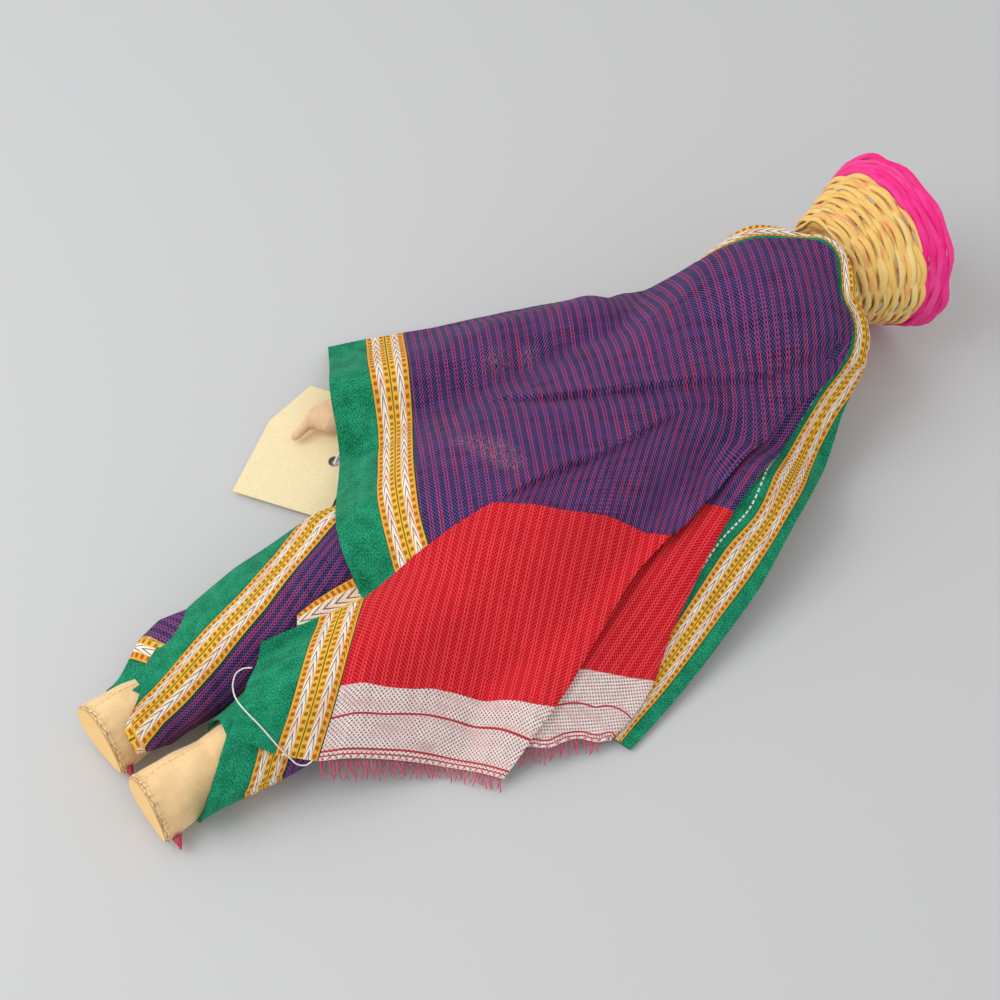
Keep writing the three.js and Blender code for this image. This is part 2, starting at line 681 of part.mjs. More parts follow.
// A place along an arm, turned out by a swing from its rest.
function armPlace({ hand, spread, droop }, along, swing = 0) {
  const flat = along * Math.cos(rad(droop));
  const x = SHOULDERS.x - flat * Math.cos(rad(spread + swing));
  const y = hand * (SHOULDER_Y + flat * Math.sin(rad(spread + swing)));
  return { x, y, z: SHOULDER_Z - along * Math.sin(rad(droop)) };
}

// A ridge under the cloth is a tapering bar from one place to another, with its reach to either side,
// its rise and the slope at which the cloth leaves it.
function armRidge(side, swing = 0) {
  const from = armPlace(side, 0, swing);
  const to = armPlace(side, ARM_LENGTH + FINGERTIP.along / 2, swing);
  const grow = PALLU_CLEAR + 2 * STRING_RADIUS;
  const reach = [SHOULDER_RADIUS + grow, WRIST_RADIUS + grow];
  return { from, to, reach, rise: reach, slope: SLOPE.arm };
}

function sleeveRidge(side) {
  const [from, to] = [armPlace(side, 0), armPlace(side, SLEEVE_START + SLEEVE_LENGTH)];
  const radius = SHOULDER_RADIUS + FIT + BLOUSE + PALLU_CLEAR;
  return { from, to, reach: [radius, radius], rise: [radius, radius], slope: SLOPE.sleeve };
}

function legRidge(hand) {
  const from = { x: HIP_JOINT_X, y: hand * HIP_JOINT_Y, z: HIP_JOINT_Z };
  const to = { x: ANKLE_X, y: hand * ANKLE_Y, z: ANKLE_Z };
  const grow = FIT + SARI + PALLU_CLEAR;
  const reach = [THIGH_RADIUS + grow, CALF_RADIUS + grow];
  return { from, to, reach, rise: reach, slope: SLOPE.leg };
}

function trunkRidge() {
  const grow = FIT + SARI + PALLU_CLEAR;
  const reach = [HIPS.width / 2 + grow, SHOULDERS.width / 2 + grow];
  const rise = [HIPS.depth / 2 + grow, CHEST.depth / 2 + grow];
  const [from, to] = [{ x: WAIST_WRAP.low, y: 0, z: LAY_Z }, { x: CHEST.x, y: 0, z: LAY_Z }];
  return { from, to, reach, rise, slope: SLOPE.trunk };
}

function headRidge() {
  const reach = HEAD_RADIUS + FIT + HAIR + PALLU_CLEAR;
  const centre = { x: HEAD.x, y: HEAD.y, z: HEAD.z };
  return { from: centre, to: centre, reach: [reach, reach], rise: [reach, reach], slope: SLOPE.head };
}

// The cloth runs straight from the shoulders to the head, clear of the neck.
function napeRidge() {
  const chest = { x: CHEST.x, y: 0, z: LAY_Z };
  const reach = [SHOULDERS.width / 2, HEAD_RADIUS];
  const rise = [CHEST.depth / 2 + PALLU_CLEAR, HEAD_RADIUS + HAIR];
  return { from: chest, to: HEAD, reach, rise, slope: SLOPE.nape };
}

// The hood's edge laps over the foot of the basket.
function basketRidge() {
  const radius = basketRadius(HOOD_LAP) + PALLU_CLEAR;
  const [from, to] = [basketPlace(0), basketPlace(HOOD_LAP)];
  return { from, to, reach: [radius, radius], rise: [radius, radius], slope: SLOPE.head };
}

const RIDGES = [
  trunkRidge(), napeRidge(), headRidge(), basketRidge(),
  armRidge(LEFT), sleeveRidge(LEFT),
  armRidge(RIGHT), armRidge(RIGHT, RIGHT_ARM_SWING), sleeveRidge(RIGHT),
  legRidge(1), legRidge(-1),
];

// The cloth's height over one ridge: it follows the ridge's round top, then leaves it as a slope.
function ridgeHeight({ from, to, reach, rise, slope }, x, y) {
  const [dx, dy] = [to.x - from.x, to.y - from.y];
  const length2 = dx * dx + dy * dy;
  const along = length2 ? ((x - from.x) * dx + (y - from.y) * dy) / length2 : 0;
  const share = THREE.MathUtils.clamp(along, 0, 1);
  const away = Math.hypot(x - lerp(from.x, to.x, share), y - lerp(from.y, to.y, share));
  const out = away / lerp(...reach, share);
  const leave = slope / Math.hypot(1, slope);
  const crown = Math.sqrt(1 - Math.min(out, leave) ** 2);
  const fall = slope * Math.max(out - leave, 0);
  return lerp(from.z, to.z, share) + lerp(...rise, share) * (crown - fall);
}

function drapeHeight(x, y) {
  const heights = RIDGES.map((ridge) => ridgeHeight(ridge, x, y));
  heights.push(PALLU_LIFT);
  const highest = Math.max(...heights);
  const soft = heights.reduce((sum, h) => sum + Math.exp((h - highest) / DRAPE_SOFTNESS), 0);
  return highest + DRAPE_SOFTNESS * Math.log(soft);
}

function edgeCurve(places) {
  return new THREE.CatmullRomCurve3(places.map(([x, y]) => new THREE.Vector3(x, y, 0)));
}

const crownX = HEAD.x + HEAD_RADIUS;
const hoodPlaces = HOOD_EDGE.map(([x, y]) => [crownX + x, HEAD.y + y]);
const [hemStart, hemEnd] = [HEM[0], HEM.at(-1)];
const [hoodStart, palluEnd] = [hoodPlaces[0], CUT_END.at(-1)];
const hem = edgeCurve(HEM);
const cutEnd = edgeCurve([hemEnd, ...CUT_END]);
const hoodEdge = edgeCurve([...hoodPlaces, ...RIGHT_EDGE, palluEnd]);
const leftEdge = edgeCurve([hemStart, ...LEFT_EDGE, hoodStart]);

// A point of the cloth's plan, blended from its four edges.
function planPoint(u, v) {
  const [a, b] = [hem.getPointAt(u), hoodEdge.getPointAt(u)];
  const [l, e] = [leftEdge.getPointAt(v), cutEnd.getPointAt(v)];
  const blend = (key, i) => {
    const edges = lerp(a[key], b[key], v) + lerp(l[key], e[key], u);
    const low = lerp(hemStart[i], hemEnd[i], u);
    const high = lerp(hoodStart[i], palluEnd[i], u);
    return edges - lerp(low, high, v);
  };
  return { x: blend("x", 0), y: blend("y", 1) };
}

function bump(away, width) {
  return Math.exp(-((away / width) ** 2));
}

// Two soft folds: one across the hips where the end turns aside, one along the end's right half.
function foldHeight(u, v) {
  const hipFold = bump(u - HIP_FOLD.along, HIP_FOLD.width) * (1 - v) ** 2;
  const endFold = bump(v - END_FOLD.across, END_FOLD.width) * u;
  return FOLD_HEIGHT * (hipFold + endFold);
}

function addPallu() {
  const rows = Array.from({ length: PALLU_ROWS }, (_, row) => {
    const v = row / (PALLU_ROWS - 1);
    return Array.from({ length: PALLU_COLUMNS }, (_unused, column) => {
      const u = column / (PALLU_COLUMNS - 1);
      const { x, y } = planPoint(u, v);
      return new THREE.Vector3(x, y, drapeHeight(x, y) + foldHeight(u, v));
    });
  });
  place("pallu", sheet(rows, SARI), "sari");
}

// Tag, its string, and a loose thread on the right leg

function addTag() {
  const outline = new THREE.Shape();
  outline.setFromPoints([
    new THREE.Vector2(0, 0), new THREE.Vector2(0, -TAG_WIDTH),
    new THREE.Vector2(TAG_LENGTH, -TAG_WIDTH), new THREE.Vector2(TAG_LENGTH, -TAG_CLIP_WIDTH),
    new THREE.Vector2(TAG_LENGTH - TAG_CLIP_LENGTH, 0),
  ]);
  const hole = new THREE.Path().absarc(TAG_HOLE.x, -TAG_HOLE.y, TAG_HOLE_RADIUS, 0, 2 * Math.PI);
  outline.holes.push(hole);
  const settings = { depth: TAG_THICK, bevelEnabled: false, curveSegments: TAG_HOLE_STEPS };
  const card = new THREE.ExtrudeGeometry(outline, settings);
  const tag = place("paper_tag", mergedBody(card), "card");
  tag.position.set(TAG_CORNER.x, TAG_CORNER.y, TAG_Z);
  tag.rotation.z = rad(TAG_TURN);
}

function addString() {
  const wrist = armPlace(LEFT, STRING_ARM_PLACE);
  const turn = rad(180 - LEFT_ARM_SPREAD);
  const beside = new THREE.Vector3(-Math.sin(turn), Math.cos(turn), 0);
  const above = new THREE.Vector3(0, 0, 1);
  const radius = WRIST_RADIUS + 2 * FIT + STRING_RADIUS;
  const loop = Array.from({ length: STRING_LOOP.points }, (_, i) => {
    const angle = rad(STRING_LOOP.start + STRING_LOOP.turn * i);
    const out = beside.clone().multiplyScalar(radius * Math.cos(angle));
    out.addScaledVector(above, radius * Math.sin(angle));
    return out.add(new THREE.Vector3(wrist.x - STRING_LOOP.drift * i, wrist.y, wrist.z));
  });
  const tail = [
    [-15.5, 51, 5.6], [-20, 49.2, 4.2], [-23.2, 48.5, 2.6], [-23.6, 48, 1.4], [-23.2, 47.2, 0.6],
    [-21.5, 44.7, 0.5], [-19.4, 41.7, 0.6], [-17.2, 40.6, 1.8], [-14.6, 43.4, 3.6], [-12.6, 47.4, 5],
  ];
  const route = [...loop, ...tail.map(([x, y, z]) => new THREE.Vector3(x, y, z))];
  place("tag_string", cord(route, STRING_RADIUS, STRING_STEPS), "thread");
}

function addLooseThread() {
  const route = [
    [-75.5, 1, 22.1], [-77.5, 0.2, 21.5], [-79.8, -1.4, 21.2], [-80.6, -2.4, 21.8], [-81.3, -3.6, 22.5],
    [-82.2, -6.2, 23.7], [-82.5, -9.2, 24.8], [-82.4, -10.7, 24.9], [-82.3, -12.2, 24.9], [-82, -15.2, 24.4],
    [-81.6, -16.6, 24], [-81, -18, 23.4], [-79.5, -20.4, 21.8], [-78.6, -21.2, 21.2], [-77.5, -21.8, 20.7],
    [-75, -22, 20.6],
  ];
  const points = route.map(([x, y, z]) => new THREE.Vector3(x, y, z));
  place("loose_thread", cord(points, THREAD_RADIUS, THREAD_STEPS), "thread");
}

addTorso();
addBodyClothes();
addHead();
addBasket();
SIDES.forEach(addArm);
SIDES.forEach(addLeg);
addPallu();
addTag();
addString();
addLooseThread();

// The part's origin is at the middle of its lowest plane.
const part = new THREE.Group();
part.add(doll);
part.updateMatrixWorld(true);
const box = new THREE.Box3().setFromObject(doll, true);
const middle = box.getCenter(new THREE.Vector3());
doll.position.set(-middle.x, -middle.y, -box.min.z);

export default part;
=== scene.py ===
# %% [markdown]
# # A cloth doll in a sari
# The doll is stuffed cotton, wrapped in handloom cloth, and carries a small basket on its head. It lies
# on its front. The imported model gives every piece its place, so the first step loads it.

# %% Load the imported model
import json

import bmesh
import bpy
import numpy as np
from mathutils import Matrix


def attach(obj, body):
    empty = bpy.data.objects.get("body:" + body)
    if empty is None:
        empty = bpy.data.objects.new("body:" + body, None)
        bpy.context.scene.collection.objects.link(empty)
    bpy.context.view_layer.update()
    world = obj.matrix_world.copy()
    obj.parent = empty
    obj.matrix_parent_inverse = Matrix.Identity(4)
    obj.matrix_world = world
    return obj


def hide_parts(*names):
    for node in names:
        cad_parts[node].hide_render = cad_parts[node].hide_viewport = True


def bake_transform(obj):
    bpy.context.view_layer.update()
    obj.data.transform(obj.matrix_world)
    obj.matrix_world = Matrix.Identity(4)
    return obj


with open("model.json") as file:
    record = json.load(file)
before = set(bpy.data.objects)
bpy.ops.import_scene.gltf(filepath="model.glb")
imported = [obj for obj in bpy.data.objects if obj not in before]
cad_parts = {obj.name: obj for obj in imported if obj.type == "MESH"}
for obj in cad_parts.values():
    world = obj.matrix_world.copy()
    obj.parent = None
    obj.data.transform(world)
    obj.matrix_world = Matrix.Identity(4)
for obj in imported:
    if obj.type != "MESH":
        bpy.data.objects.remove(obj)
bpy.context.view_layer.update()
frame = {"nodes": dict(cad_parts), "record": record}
MM = 0.001

# %% [markdown]
# The doll is measured in its own millimetres: X runs from the hips to the head, Y to its left, Z out of
# its back. One seam that both frames know, the neck, tells how far apart the two origins are.

# %% From the doll's millimetres to the model's metres
NECK_SEAM = np.array([69.0, 0.0, 18.0])
joints = {joint["name"]: joint for joint in frame["record"]["behaviour"]["joints"]}
SHIFT = np.array(joints["neck"]["pos_m"]) / MM - NECK_SEAM


def to_row(points):
    """Place in metres = (place in the doll's millimetres + shift) / 1000."""
    return (np.asarray(points, dtype=float) + SHIFT) * MM


print("shift between the two origins, mm:", np.round(SHIFT, 3))

# %% [markdown]
# The photograph looks down at 57 degrees from the doll's right side, a little towards its feet. A camera
# object needs a position and three axes: right, up and backwards. They follow from the two angles, so the
# view is easy to change.

# %% Camera
LOOK_DOWN = np.radians(57.0)
LOOK_ROUND = np.radians(37.0)
FIELD = np.radians(32.0)
CAMERA_REACH = 450.0
AIM = np.array([0.0, 5.0, 15.0])

away = np.array([np.sin(LOOK_ROUND), np.cos(LOOK_ROUND), 0.0])
to_right = np.array([np.cos(LOOK_ROUND), -np.sin(LOOK_ROUND), 0.0])
straight_up = np.array([0.0, 0.0, 1.0])
look = away * np.cos(LOOK_DOWN) - straight_up * np.sin(LOOK_DOWN)
view_up = away * np.sin(LOOK_DOWN) + straight_up * np.cos(LOOK_DOWN)

camera_data = bpy.data.cameras.new("camera")
camera_data.angle = FIELD
camera_data.clip_start = 0.01
camera = bpy.data.objects.new("camera", camera_data)
bpy.context.scene.collection.objects.link(camera)
place = np.eye(4)
place[:3, 0], place[:3, 1], place[:3, 2] = to_right, view_up, -look
place[:3, 3] = to_row(AIM - look * CAMERA_REACH)
camera.matrix_world = Matrix(place.tolist())
bpy.context.scene.camera = camera
print("camera at", np.round(place[:3, 3], 3))

# %% [markdown]
# A smooth line through a few chosen points is the base of nearly every piece. A cubic Hermite curve
# passes through its points and keeps one slope on both sides of each, so it has no kinks and never
# wanders far from them.

# %% Smooth lines


def smooth_line(points, count, kept=None):
    """Through the points p_i at lengths d_i: p = h00 p_i + h10 m_i + h01 p_(i+1) + h11 m_(i+1), slopes m
    by differences.

    The first `kept` columns measure the length, so that widths or heights can ride along in the other
    columns."""
    p = np.asarray(points, dtype=float)
    steps = np.linalg.norm(np.diff(p[:, :kept], axis=0), axis=1)
    d = np.concatenate([[0.0], np.cumsum(steps)])
    slope = np.gradient(p, d, axis=0)
    t = np.linspace(0.0, d[-1], count)
    i = np.clip(np.searchsorted(d, t, side="right") - 1, 0, len(d) - 2)
    gap = (d[i + 1] - d[i])[:, None]
    s = (t - d[i])[:, None] / gap
    start = (1 + 2 * s) * (1 - s) ** 2 * p[i] + s * (1 - s) ** 2 * gap * slope[i]
    end = s**2 * (3 - 2 * s) * p[i + 1] + s**2 * (s - 1) * gap * slope[i + 1]
    return start + end


def length_of(line):
    """Sum of the distances from each point to the next."""
    return float(np.linalg.norm(np.diff(line, axis=0), axis=1).sum())


# %% [markdown]
# Next come the tools that turn a grid of points into a mesh. The points of a surface are an array with a
# row and a column number; each little square of the grid becomes one face. Texture coordinates go with
# the points, so that a pattern woven along the thread stays on the thread.

# %% From a grid to a mesh


def grid_faces(rows, columns, wrap_rows=False, wrap_columns=False):
    """Square (i, j) joins the points (i, j), (i+1, j), (i+1, j+1), (i, j+1); a wrapped side joins last to
    first."""
    i = np.arange(rows if wrap_rows else rows - 1)
    j = np.arange(columns if wrap_columns else columns - 1)
    i, j = [a.ravel() for a in np.meshgrid(i, j, indexing="ij")]
    k, m = (i + 1) % rows, (j + 1) % columns
    return np.column_stack([i * columns + j, k * columns + j, k * columns + m, i * columns + m])


def make_piece(name, points, faces, uvs=None, normals=None, smooth=True):
    """A new object of these points, in the doll's millimetres, and faces; uvs holds one pair per point
    for each map."""
    mesh = bpy.data.meshes.new(name)
    mesh.from_pydata(to_row(points).tolist(), [], [list(map(int, face)) for face in faces])
    corner = np.empty(len(mesh.loops), dtype=np.int32)
    mesh.loops.foreach_get("vertex_index", corner)
    for key, pairs in (uvs or {}).items():
        layer = mesh.uv_layers.new(name=key)
        layer.data.foreach_set("uv", np.asarray(pairs, dtype=np.float32)[corner].ravel())
    mesh.polygons.foreach_set("use_smooth", np.full(len(mesh.polygons), smooth))
    if normals is not None:
        mesh.normals_split_custom_set_from_vertices(normals.tolist())
    mesh.validate()
    piece = bpy.data.objects.new(name, mesh)
    bpy.context.scene.collection.objects.link(piece)
    return piece


def stack(parts):
    """Several (points, faces, uvs) parts as one: each part's point numbers move up by the points before
    it."""
    starts = np.cumsum([0] + [len(points) for points, _, _ in parts])
    points = np.concatenate([points for points, _, _ in parts])
    faces = [
        face + start for (_, own, _), start in zip(parts, starts) for face in map(np.asarray, own)
    ]
    uvs = {key: np.concatenate([part[2][key] for part in parts]) for key in parts[0][2]}
    return points, faces, uvs


def side_by_side(*numbers):
    """Numbers for each point, put side by side along one more axis."""
    return np.stack(np.broadcast_arrays(*numbers), axis=-1)


def grid_normals(grid):
    """At each point, the cross product of the steps along rows and columns, of length 1."""
    n = np.cross(np.gradient(grid, axis=0), np.gradient(grid, axis=1))
    return n / np.maximum(np.linalg.norm(n, axis=2, keepdims=True), 1e-9)


def cloth_piece(name, grid, uvs, keep=None, thick=0.45):
    """A thin closed sheet: the grid moved half its thickness to either side, and a rim wherever a square
    has no neighbour.

    `keep` marks the squares that belong to this piece. Shading uses the whole grid's normals, so two
    pieces cut from one grid meet without a visible line. Returns the object and the area of one side in
    square metres."""
    rows, columns = grid.shape[:2]
    n = grid_normals(grid)
    squares = grid_faces(rows, columns)
    if n[..., 2].mean() < 0:
        n = -n
        squares = squares[:, ::-1]
    if keep is not None:
        squares = squares[keep.ravel()]
    total = rows * columns
    edges = squares[:, [0, 1, 1, 2, 2, 3, 3, 0]].reshape(-1, 2)
    _, first, count = np.unique(np.sort(edges, axis=1), axis=0, return_index=True, return_counts=True)
    rim = edges[first[count == 1]]
    rim_faces = np.column_stack([rim[:, 1], rim[:, 0], rim[:, 0] + total, rim[:, 1] + total])
    faces = np.concatenate([squares, squares[:, ::-1] + total, rim_faces])
    points = np.concatenate([(grid + n * thick / 2).reshape(-1, 3), (grid - n * thick / 2).reshape(-1, 3)])
    normals = np.concatenate([n.reshape(-1, 3), -n.reshape(-1, 3)])
    used = np.unique(faces)
    renumber = np.zeros(2 * total, dtype=int)
    renumber[used] = np.arange(len(used))
    both = {key: np.concatenate([pairs.reshape(-1, 2)] * 2)[used] for key, pairs in uvs.items()}
    piece = make_piece(name, points[used], renumber[faces], both, normals[used])
    flat = grid.reshape(-1, 3)
    a, b, c, d = (flat[squares[:, k]] for k in range(4))
    area = 0.5 * np.linalg.norm(np.cross(c - a, d - b), axis=1).sum() * MM**2
    print(name, len(faces), "faces,", round(area * 1e4, 1), "square cm")
    return piece, float(area)


def declare_cloth(area, width):
    """Cut size: this width, and the length that gives the area, worked out and not kept."""
    width * MM
    area / (width * MM)


def strands(name, starts, ends, thick, seed, bow=0.8):
    """Loose threads: p(t) = start + (end - start) t + bow sin(pi t) sideways, as tubes of four sides that
    taper a little."""
    rng = np.random.default_rng(seed)
    count, stations, sides = len(starts), 7, 4
    t = np.linspace(0, 1, stations)[None, :, None]
    reach = ends - starts
    sideways = np.cross(reach, [0.0, 0.0, 1.0])
    sideways /= np.linalg.norm(sideways, axis=1, keepdims=True)
    bend = rng.uniform(-bow, bow, (count, 1, 1)) * np.sin(np.pi * t)
    bend = bend + rng.uniform(-bow, bow, (count, 1, 1)) * np.sin(2 * np.pi * t) / 2
    line = starts[:, None] + reach[:, None] * t + sideways[:, None] * bend
    b = np.linspace(0, 2 * np.pi, sides, endpoint=False)
    radius = thick / 2 * (1 - 0.5 * t)[..., None]
    upright = np.array([0.0, 0.0, 1.0]) * np.sin(b)[:, None]
    grid = line[:, :, None, :] + radius * (sideways[:, None, None, :] * np.cos(b)[:, None] + upright)
    caps = [[0, 1, 2, 3], [27, 26, 25, 24]]
    shape = np.concatenate([grid_faces(stations, sides, wrap_columns=True), caps])
    faces = (shape[None] + (np.arange(count) * stations * sides)[:, None, None]).reshape(-1, 4)
    return outward(make_piece(name, grid.reshape(-1, 3), faces))


def outward(piece):
    """Turns the faces of a closed mesh outwards."""
    mesh = bmesh.new()
    mesh.from_mesh(piece.data)
    bmesh.ops.recalc_face_normals(mesh, faces=mesh.faces)
    mesh.to_mesh(piece.data)
    mesh.free()
    return piece


# %% [markdown]
# One white thread has come loose at the right ankle and lies in a loop on the sari. It is limp cotton, so
# it is a round tube less than half a millimetre thick that follows the cloth from where it comes out to
# its bare end.

# %% Loose thread
THREAD_ROUTE = [
    (-78.4, -0.6, 20.9), (-80.2, 0.5, 20.9), (-82.2, 0.4, 21), (-84.1, -1.2, 21.2), (-85.6, -4, 22.6),
    (-86.6, -8, 24.6),
    (-86.4, -12.5, 25), (-85.8, -15.9, 24.3), (-85.2, -19.3, 22.6), (-84.5, -22, 20.1), (-83.6, -24.3, 17.8),
    (-82.6, -26.2, 16), (-81, -27, 15.2), (-79.2, -27, 15.4),
]
THREAD_THICK = 0.4


def closed_rings(rings):
    """Points and faces of a loft of closed rings, with a fan of faces to the middle of the first and the
    last ring."""
    count, sides = rings.shape[:2]
    middles = [rings[k].mean(axis=0)[None] for k in (0, -1)]
    points = np.concatenate([rings.reshape(-1, 3), *middles])
    k = np.arange(sides)
    ahead = (k + 1) % sides
    last = (count - 1) * sides
    first_fan = np.column_stack([np.full(sides, count * sides), k, ahead])
    last_fan = np.column_stack([np.full(sides, count * sides + 1), last + ahead, last + k])
    walls = grid_faces(count, sides, wrap_columns=True)
    return points, [list(face) for part in (walls, first_fan, last_fan) for face in part]


def rings_along(line, radii, sides):
    """Circles carried along a line: p = line + r (s cos a + o sin a), s level and o over it, both square
    to the line."""
    step = np.gradient(line, axis=0)
    level = np.cross(step, [0.0, 0.0, 1.0])
    level /= np.linalg.norm(level, axis=1, keepdims=True)
    over = np.cross(level, step)
    over /= np.linalg.norm(over, axis=1, keepdims=True)
    a = np.linspace(0, 2 * np.pi, sides, endpoint=False)[None, :, None]
    spread = level[:, None] * np.cos(a) + over[:, None] * np.sin(a)
    return line[:, None] + np.broadcast_to(radii, (len(line), sides))[..., None] * spread


thread_line = smooth_line(THREAD_ROUTE, 91)
thread_rings = rings_along(thread_line, np.full((91, 1), THREAD_THICK / 2), 8)
loose_white_thread = outward(make_piece("loose_white_thread", *closed_rings(thread_rings)))
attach(loose_white_thread, "right_leg")
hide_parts("loose_thread")

# %% [markdown]
# The sari's loose end lies over the whole doll, so its height follows what is underneath: trunk, neck,
# head, basket foot, arms and legs. Each is a ridge along a line. Close to the line the cloth is round,
# and further out it falls in a straight slope, as cloth does when it leaves a body. Where ridges meet, a
# soft maximum lets the cloth span the hollow.

# %% Height of the draped cloth
RIDGES = [
    ((-6, 0, 16.5), (40, 0, 16.5), (28.8, 27.8), (18.8, 17.8), 1.4),
    ((40, 0, 16.5), (87, 2, 23), (24, 21.5), (16.3, 22.7), 1.3),
    ((87, 2, 23), (87.01, 2, 23), (25.3, 25.3), (25.3, 25.3), 1.6),
    ((109.54, 4.63, 27.77), (113.5, 4.35, 27.42), (20.7, 20.7), (20.7, 20.7), 1.6),
    ((51, 31.4, 15), (-23, 64.4, 6.5), (10.5, 7.4), (10.5, 7.4), 0.75),
    ((51, 31.4, 15), (27.4, 41.9, 12.3), (10.9, 10.9), (10.9, 10.9), 1.0),
    ((51, -31.4, 15), (-29.3, -39.8, 3.7), (10.5, 7.4), (10.5, 7.4), 0.75),
    ((51, -31.4, 15), (-28.5, -45.4, 3.7), (10.5, 7.4), (10.5, 7.4), 0.75),
    ((51, -31.4, 15), (25.4, -34.1, 11.4), (10.9, 10.9), (10.9, 10.9), 1.0),
    ((-14, 12.6, 12.5), (-98, 11.2, 10.7), (14.8, 13), (14.8, 13), 1.0),
    ((-14, -12.6, 12.5), (-98, -11.2, 10.7), (14.8, 13), (14.8, 13), 1.0),
]
CLOTH_SOFTNESS = 1.6
CLOTH_ON_FLOOR = 1.6


def ridge_height(x, y, start, end, reach, rise, slope):
    """With r = distance from the line / reach: height = line + rise (sqrt(1 - r^2)), then a straight fall
    of that slope."""
    (ax, ay, az), (bx, by, bz) = start, end
    along = np.clip(((x - ax) * (bx - ax) + (y - ay) * (by - ay)) / ((bx - ax) ** 2 + (by - ay) ** 2), 0, 1)
    off = np.hypot(x - ax - along * (bx - ax), y - ay - along * (by - ay))
    r = off / (reach[0] + (reach[1] - reach[0]) * along)
    leave = slope / np.hypot(1, slope)
    crown = np.sqrt(1 - np.minimum(r, leave) ** 2) - slope * np.maximum(r - leave, 0)
    return az + (bz - az) * along + (rise[0] + (rise[1] - rise[0]) * along) * crown


def drape(plan):
    """Soft maximum of the ridges and the floor: s log(sum of exp(height / s))."""
    x, y = plan[..., 0], plan[..., 1]
    heights = np.stack([ridge_height(x, y, *ridge) for ridge in RIDGES] + [np.full(x.shape, CLOTH_ON_FLOOR)])
    top = heights.max(axis=0)
    return top + CLOTH_SOFTNESS * np.log(np.exp((heights - top) / CLOTH_SOFTNESS).sum(axis=0))


def smoothstep(low, high, x):
    """0 below low, 1 above high, and 3t^2 - 2t^3 between."""
    t = np.clip((x - low) / (high - low), 0, 1)
    return t * t * (3 - 2 * t)


def away_from(plan, line):
    """Distance in plan from each point to the nearest point of a fine line, and the share of the line at
    that point."""
    gaps = np.linalg.norm(plan[..., None, :2] - line[:, :2], axis=-1)
    return gaps.min(axis=-1), gaps.argmin(axis=-1) / (len(line) - 1)


def with_height(plan, height):
    """Points of a panel: its plan, with the height as third coordinate."""
    return np.concatenate([plan, height[..., None]], axis=-1)


def rolled_edge(off, lift, reach, radius):
    """A fold's lip: raised by `lift` within `reach` of the edge, and rounded down over the last `radius`."""
    bend = np.clip(1 - off / radius, 0, 1)
    return lift * np.exp(-((off / reach) ** 2)) - radius * (1 - np.sqrt(1 - bend**2))


print("height over the hips, head and floor:", np.round(drape(np.array([[0, 0], [87, 2], [0, 120.0]])), 1))

# %% [markdown]
# The loose end is one cloth with three folds across it, so it shows as four panels: the back with the hem
# border, the folded-over end in red and white, a strip under that fold, and the far border that runs
# round the head and down the right side. Each panel's outline in plan was read off the view. A Coons
# patch fills a panel between four edges.

# %% Filling a panel between four edges


def coons(bottom, top, left, right):
    """Ruled surface between bottom and top, plus the one between left and right, less the patch through
    the corners."""
    u = np.linspace(0, 1, len(bottom))[:, None, None]
    v = np.linspace(0, 1, len(left))[None, :, None]
    between_rows = (1 - v) * bottom[:, None] + v * top[:, None]
    between_columns = (1 - u) * left[None] + u * right[None]
    corners = (1 - u) * ((1 - v) * bottom[0] + v * top[0]) + u * ((1 - v) * bottom[-1] + v * top[-1])
    return between_rows + between_columns - corners


def ruled(line_a, line_b, count):
    """Straight rows from line a to line b, the end row left out."""
    t = np.linspace(0, 1, count, endpoint=False)[None, :, None]
    return (1 - t) * line_a[:, None] + t * line_b[:, None]


GOLD = 9.6
GREEN = 10.8

HEM = [
    (-2.9, 82), (-10, 69.5), (-16.7, 58.2), (-20.5, 50.2), (-25, 42.8), (-33.4, 30.8), (-45, 8.4),
    (-46.6, -0.9),
    (-49, -12),
]
HEM_GOLD_OUTER = [(7.1, 77.6), (-3, 60), (-10.2, 46), (-20.8, 29.6), (-29.1, 17), (-35.7, 1.5), (-39, -10)]
HEM_GOLD_INNER = [(16.1, 72), (0.5, 45.3), (-9.3, 30.2), (-19.2, 14.6), (-25, 4), (-27.4, -2), (-30, -9)]
LEFT_SIDE = [(16.1, 72), (30, 66.5), (45, 60.5), (57, 56), (66, 52)]
HOOD = [
    (66, 52), (72, 45), (77, 37), (80.5, 28), (83.5, 20.5), (88.5, 15.5), (95, 11), (100, 5.5), (102.9, 1.2),
    (103, -3.4), (100.8, -7), (98.6, -10.2), (98, -12.6), (98.8, -15.2), (98.2, -17.6), (95.6, -20.2),
]
FOLD_UPPER = [
    (86.3, -24.1), (79.5, -24.4), (72.6, -24.2), (62.9, -25.8), (52.2, -29), (45.5, -30.4), (38.4, -32.4),
    (34.1, -33), (28.1, -34.2), (23.4, -34.4),
]
RED_START = [(-30, -9), (-22, -11.5), (-13, -11), (-5, -11.2), (2, -17.4), (14.2, -26.2), (23.4, -34.4)]

rows = 190
hem_lines = [smooth_line(line, rows) for line in (HEM, HEM_GOLD_OUTER, HEM_GOLD_INNER)]
body = coons(
    hem_lines[2], smooth_line(HOOD + FOLD_UPPER, rows),
    smooth_line(LEFT_SIDE, 126), smooth_line(RED_START, 126),
)
back_plan = np.concatenate([ruled(*hem_lines[:2], 12), ruled(*hem_lines[1:], 12), body], axis=1)
print("back panel grid:", back_plan.shape)

# %% [markdown]
# Woven stripes run along the cloth's length, beside the hem border. The back therefore carries two
# coordinates: `across` the stripes and `along` them. Below the shallow crease that runs up from the red
# corner the cloth has turned, so there the coordinates follow the threads back to the crease first. A
# second map says how far a point is from the border's gold.

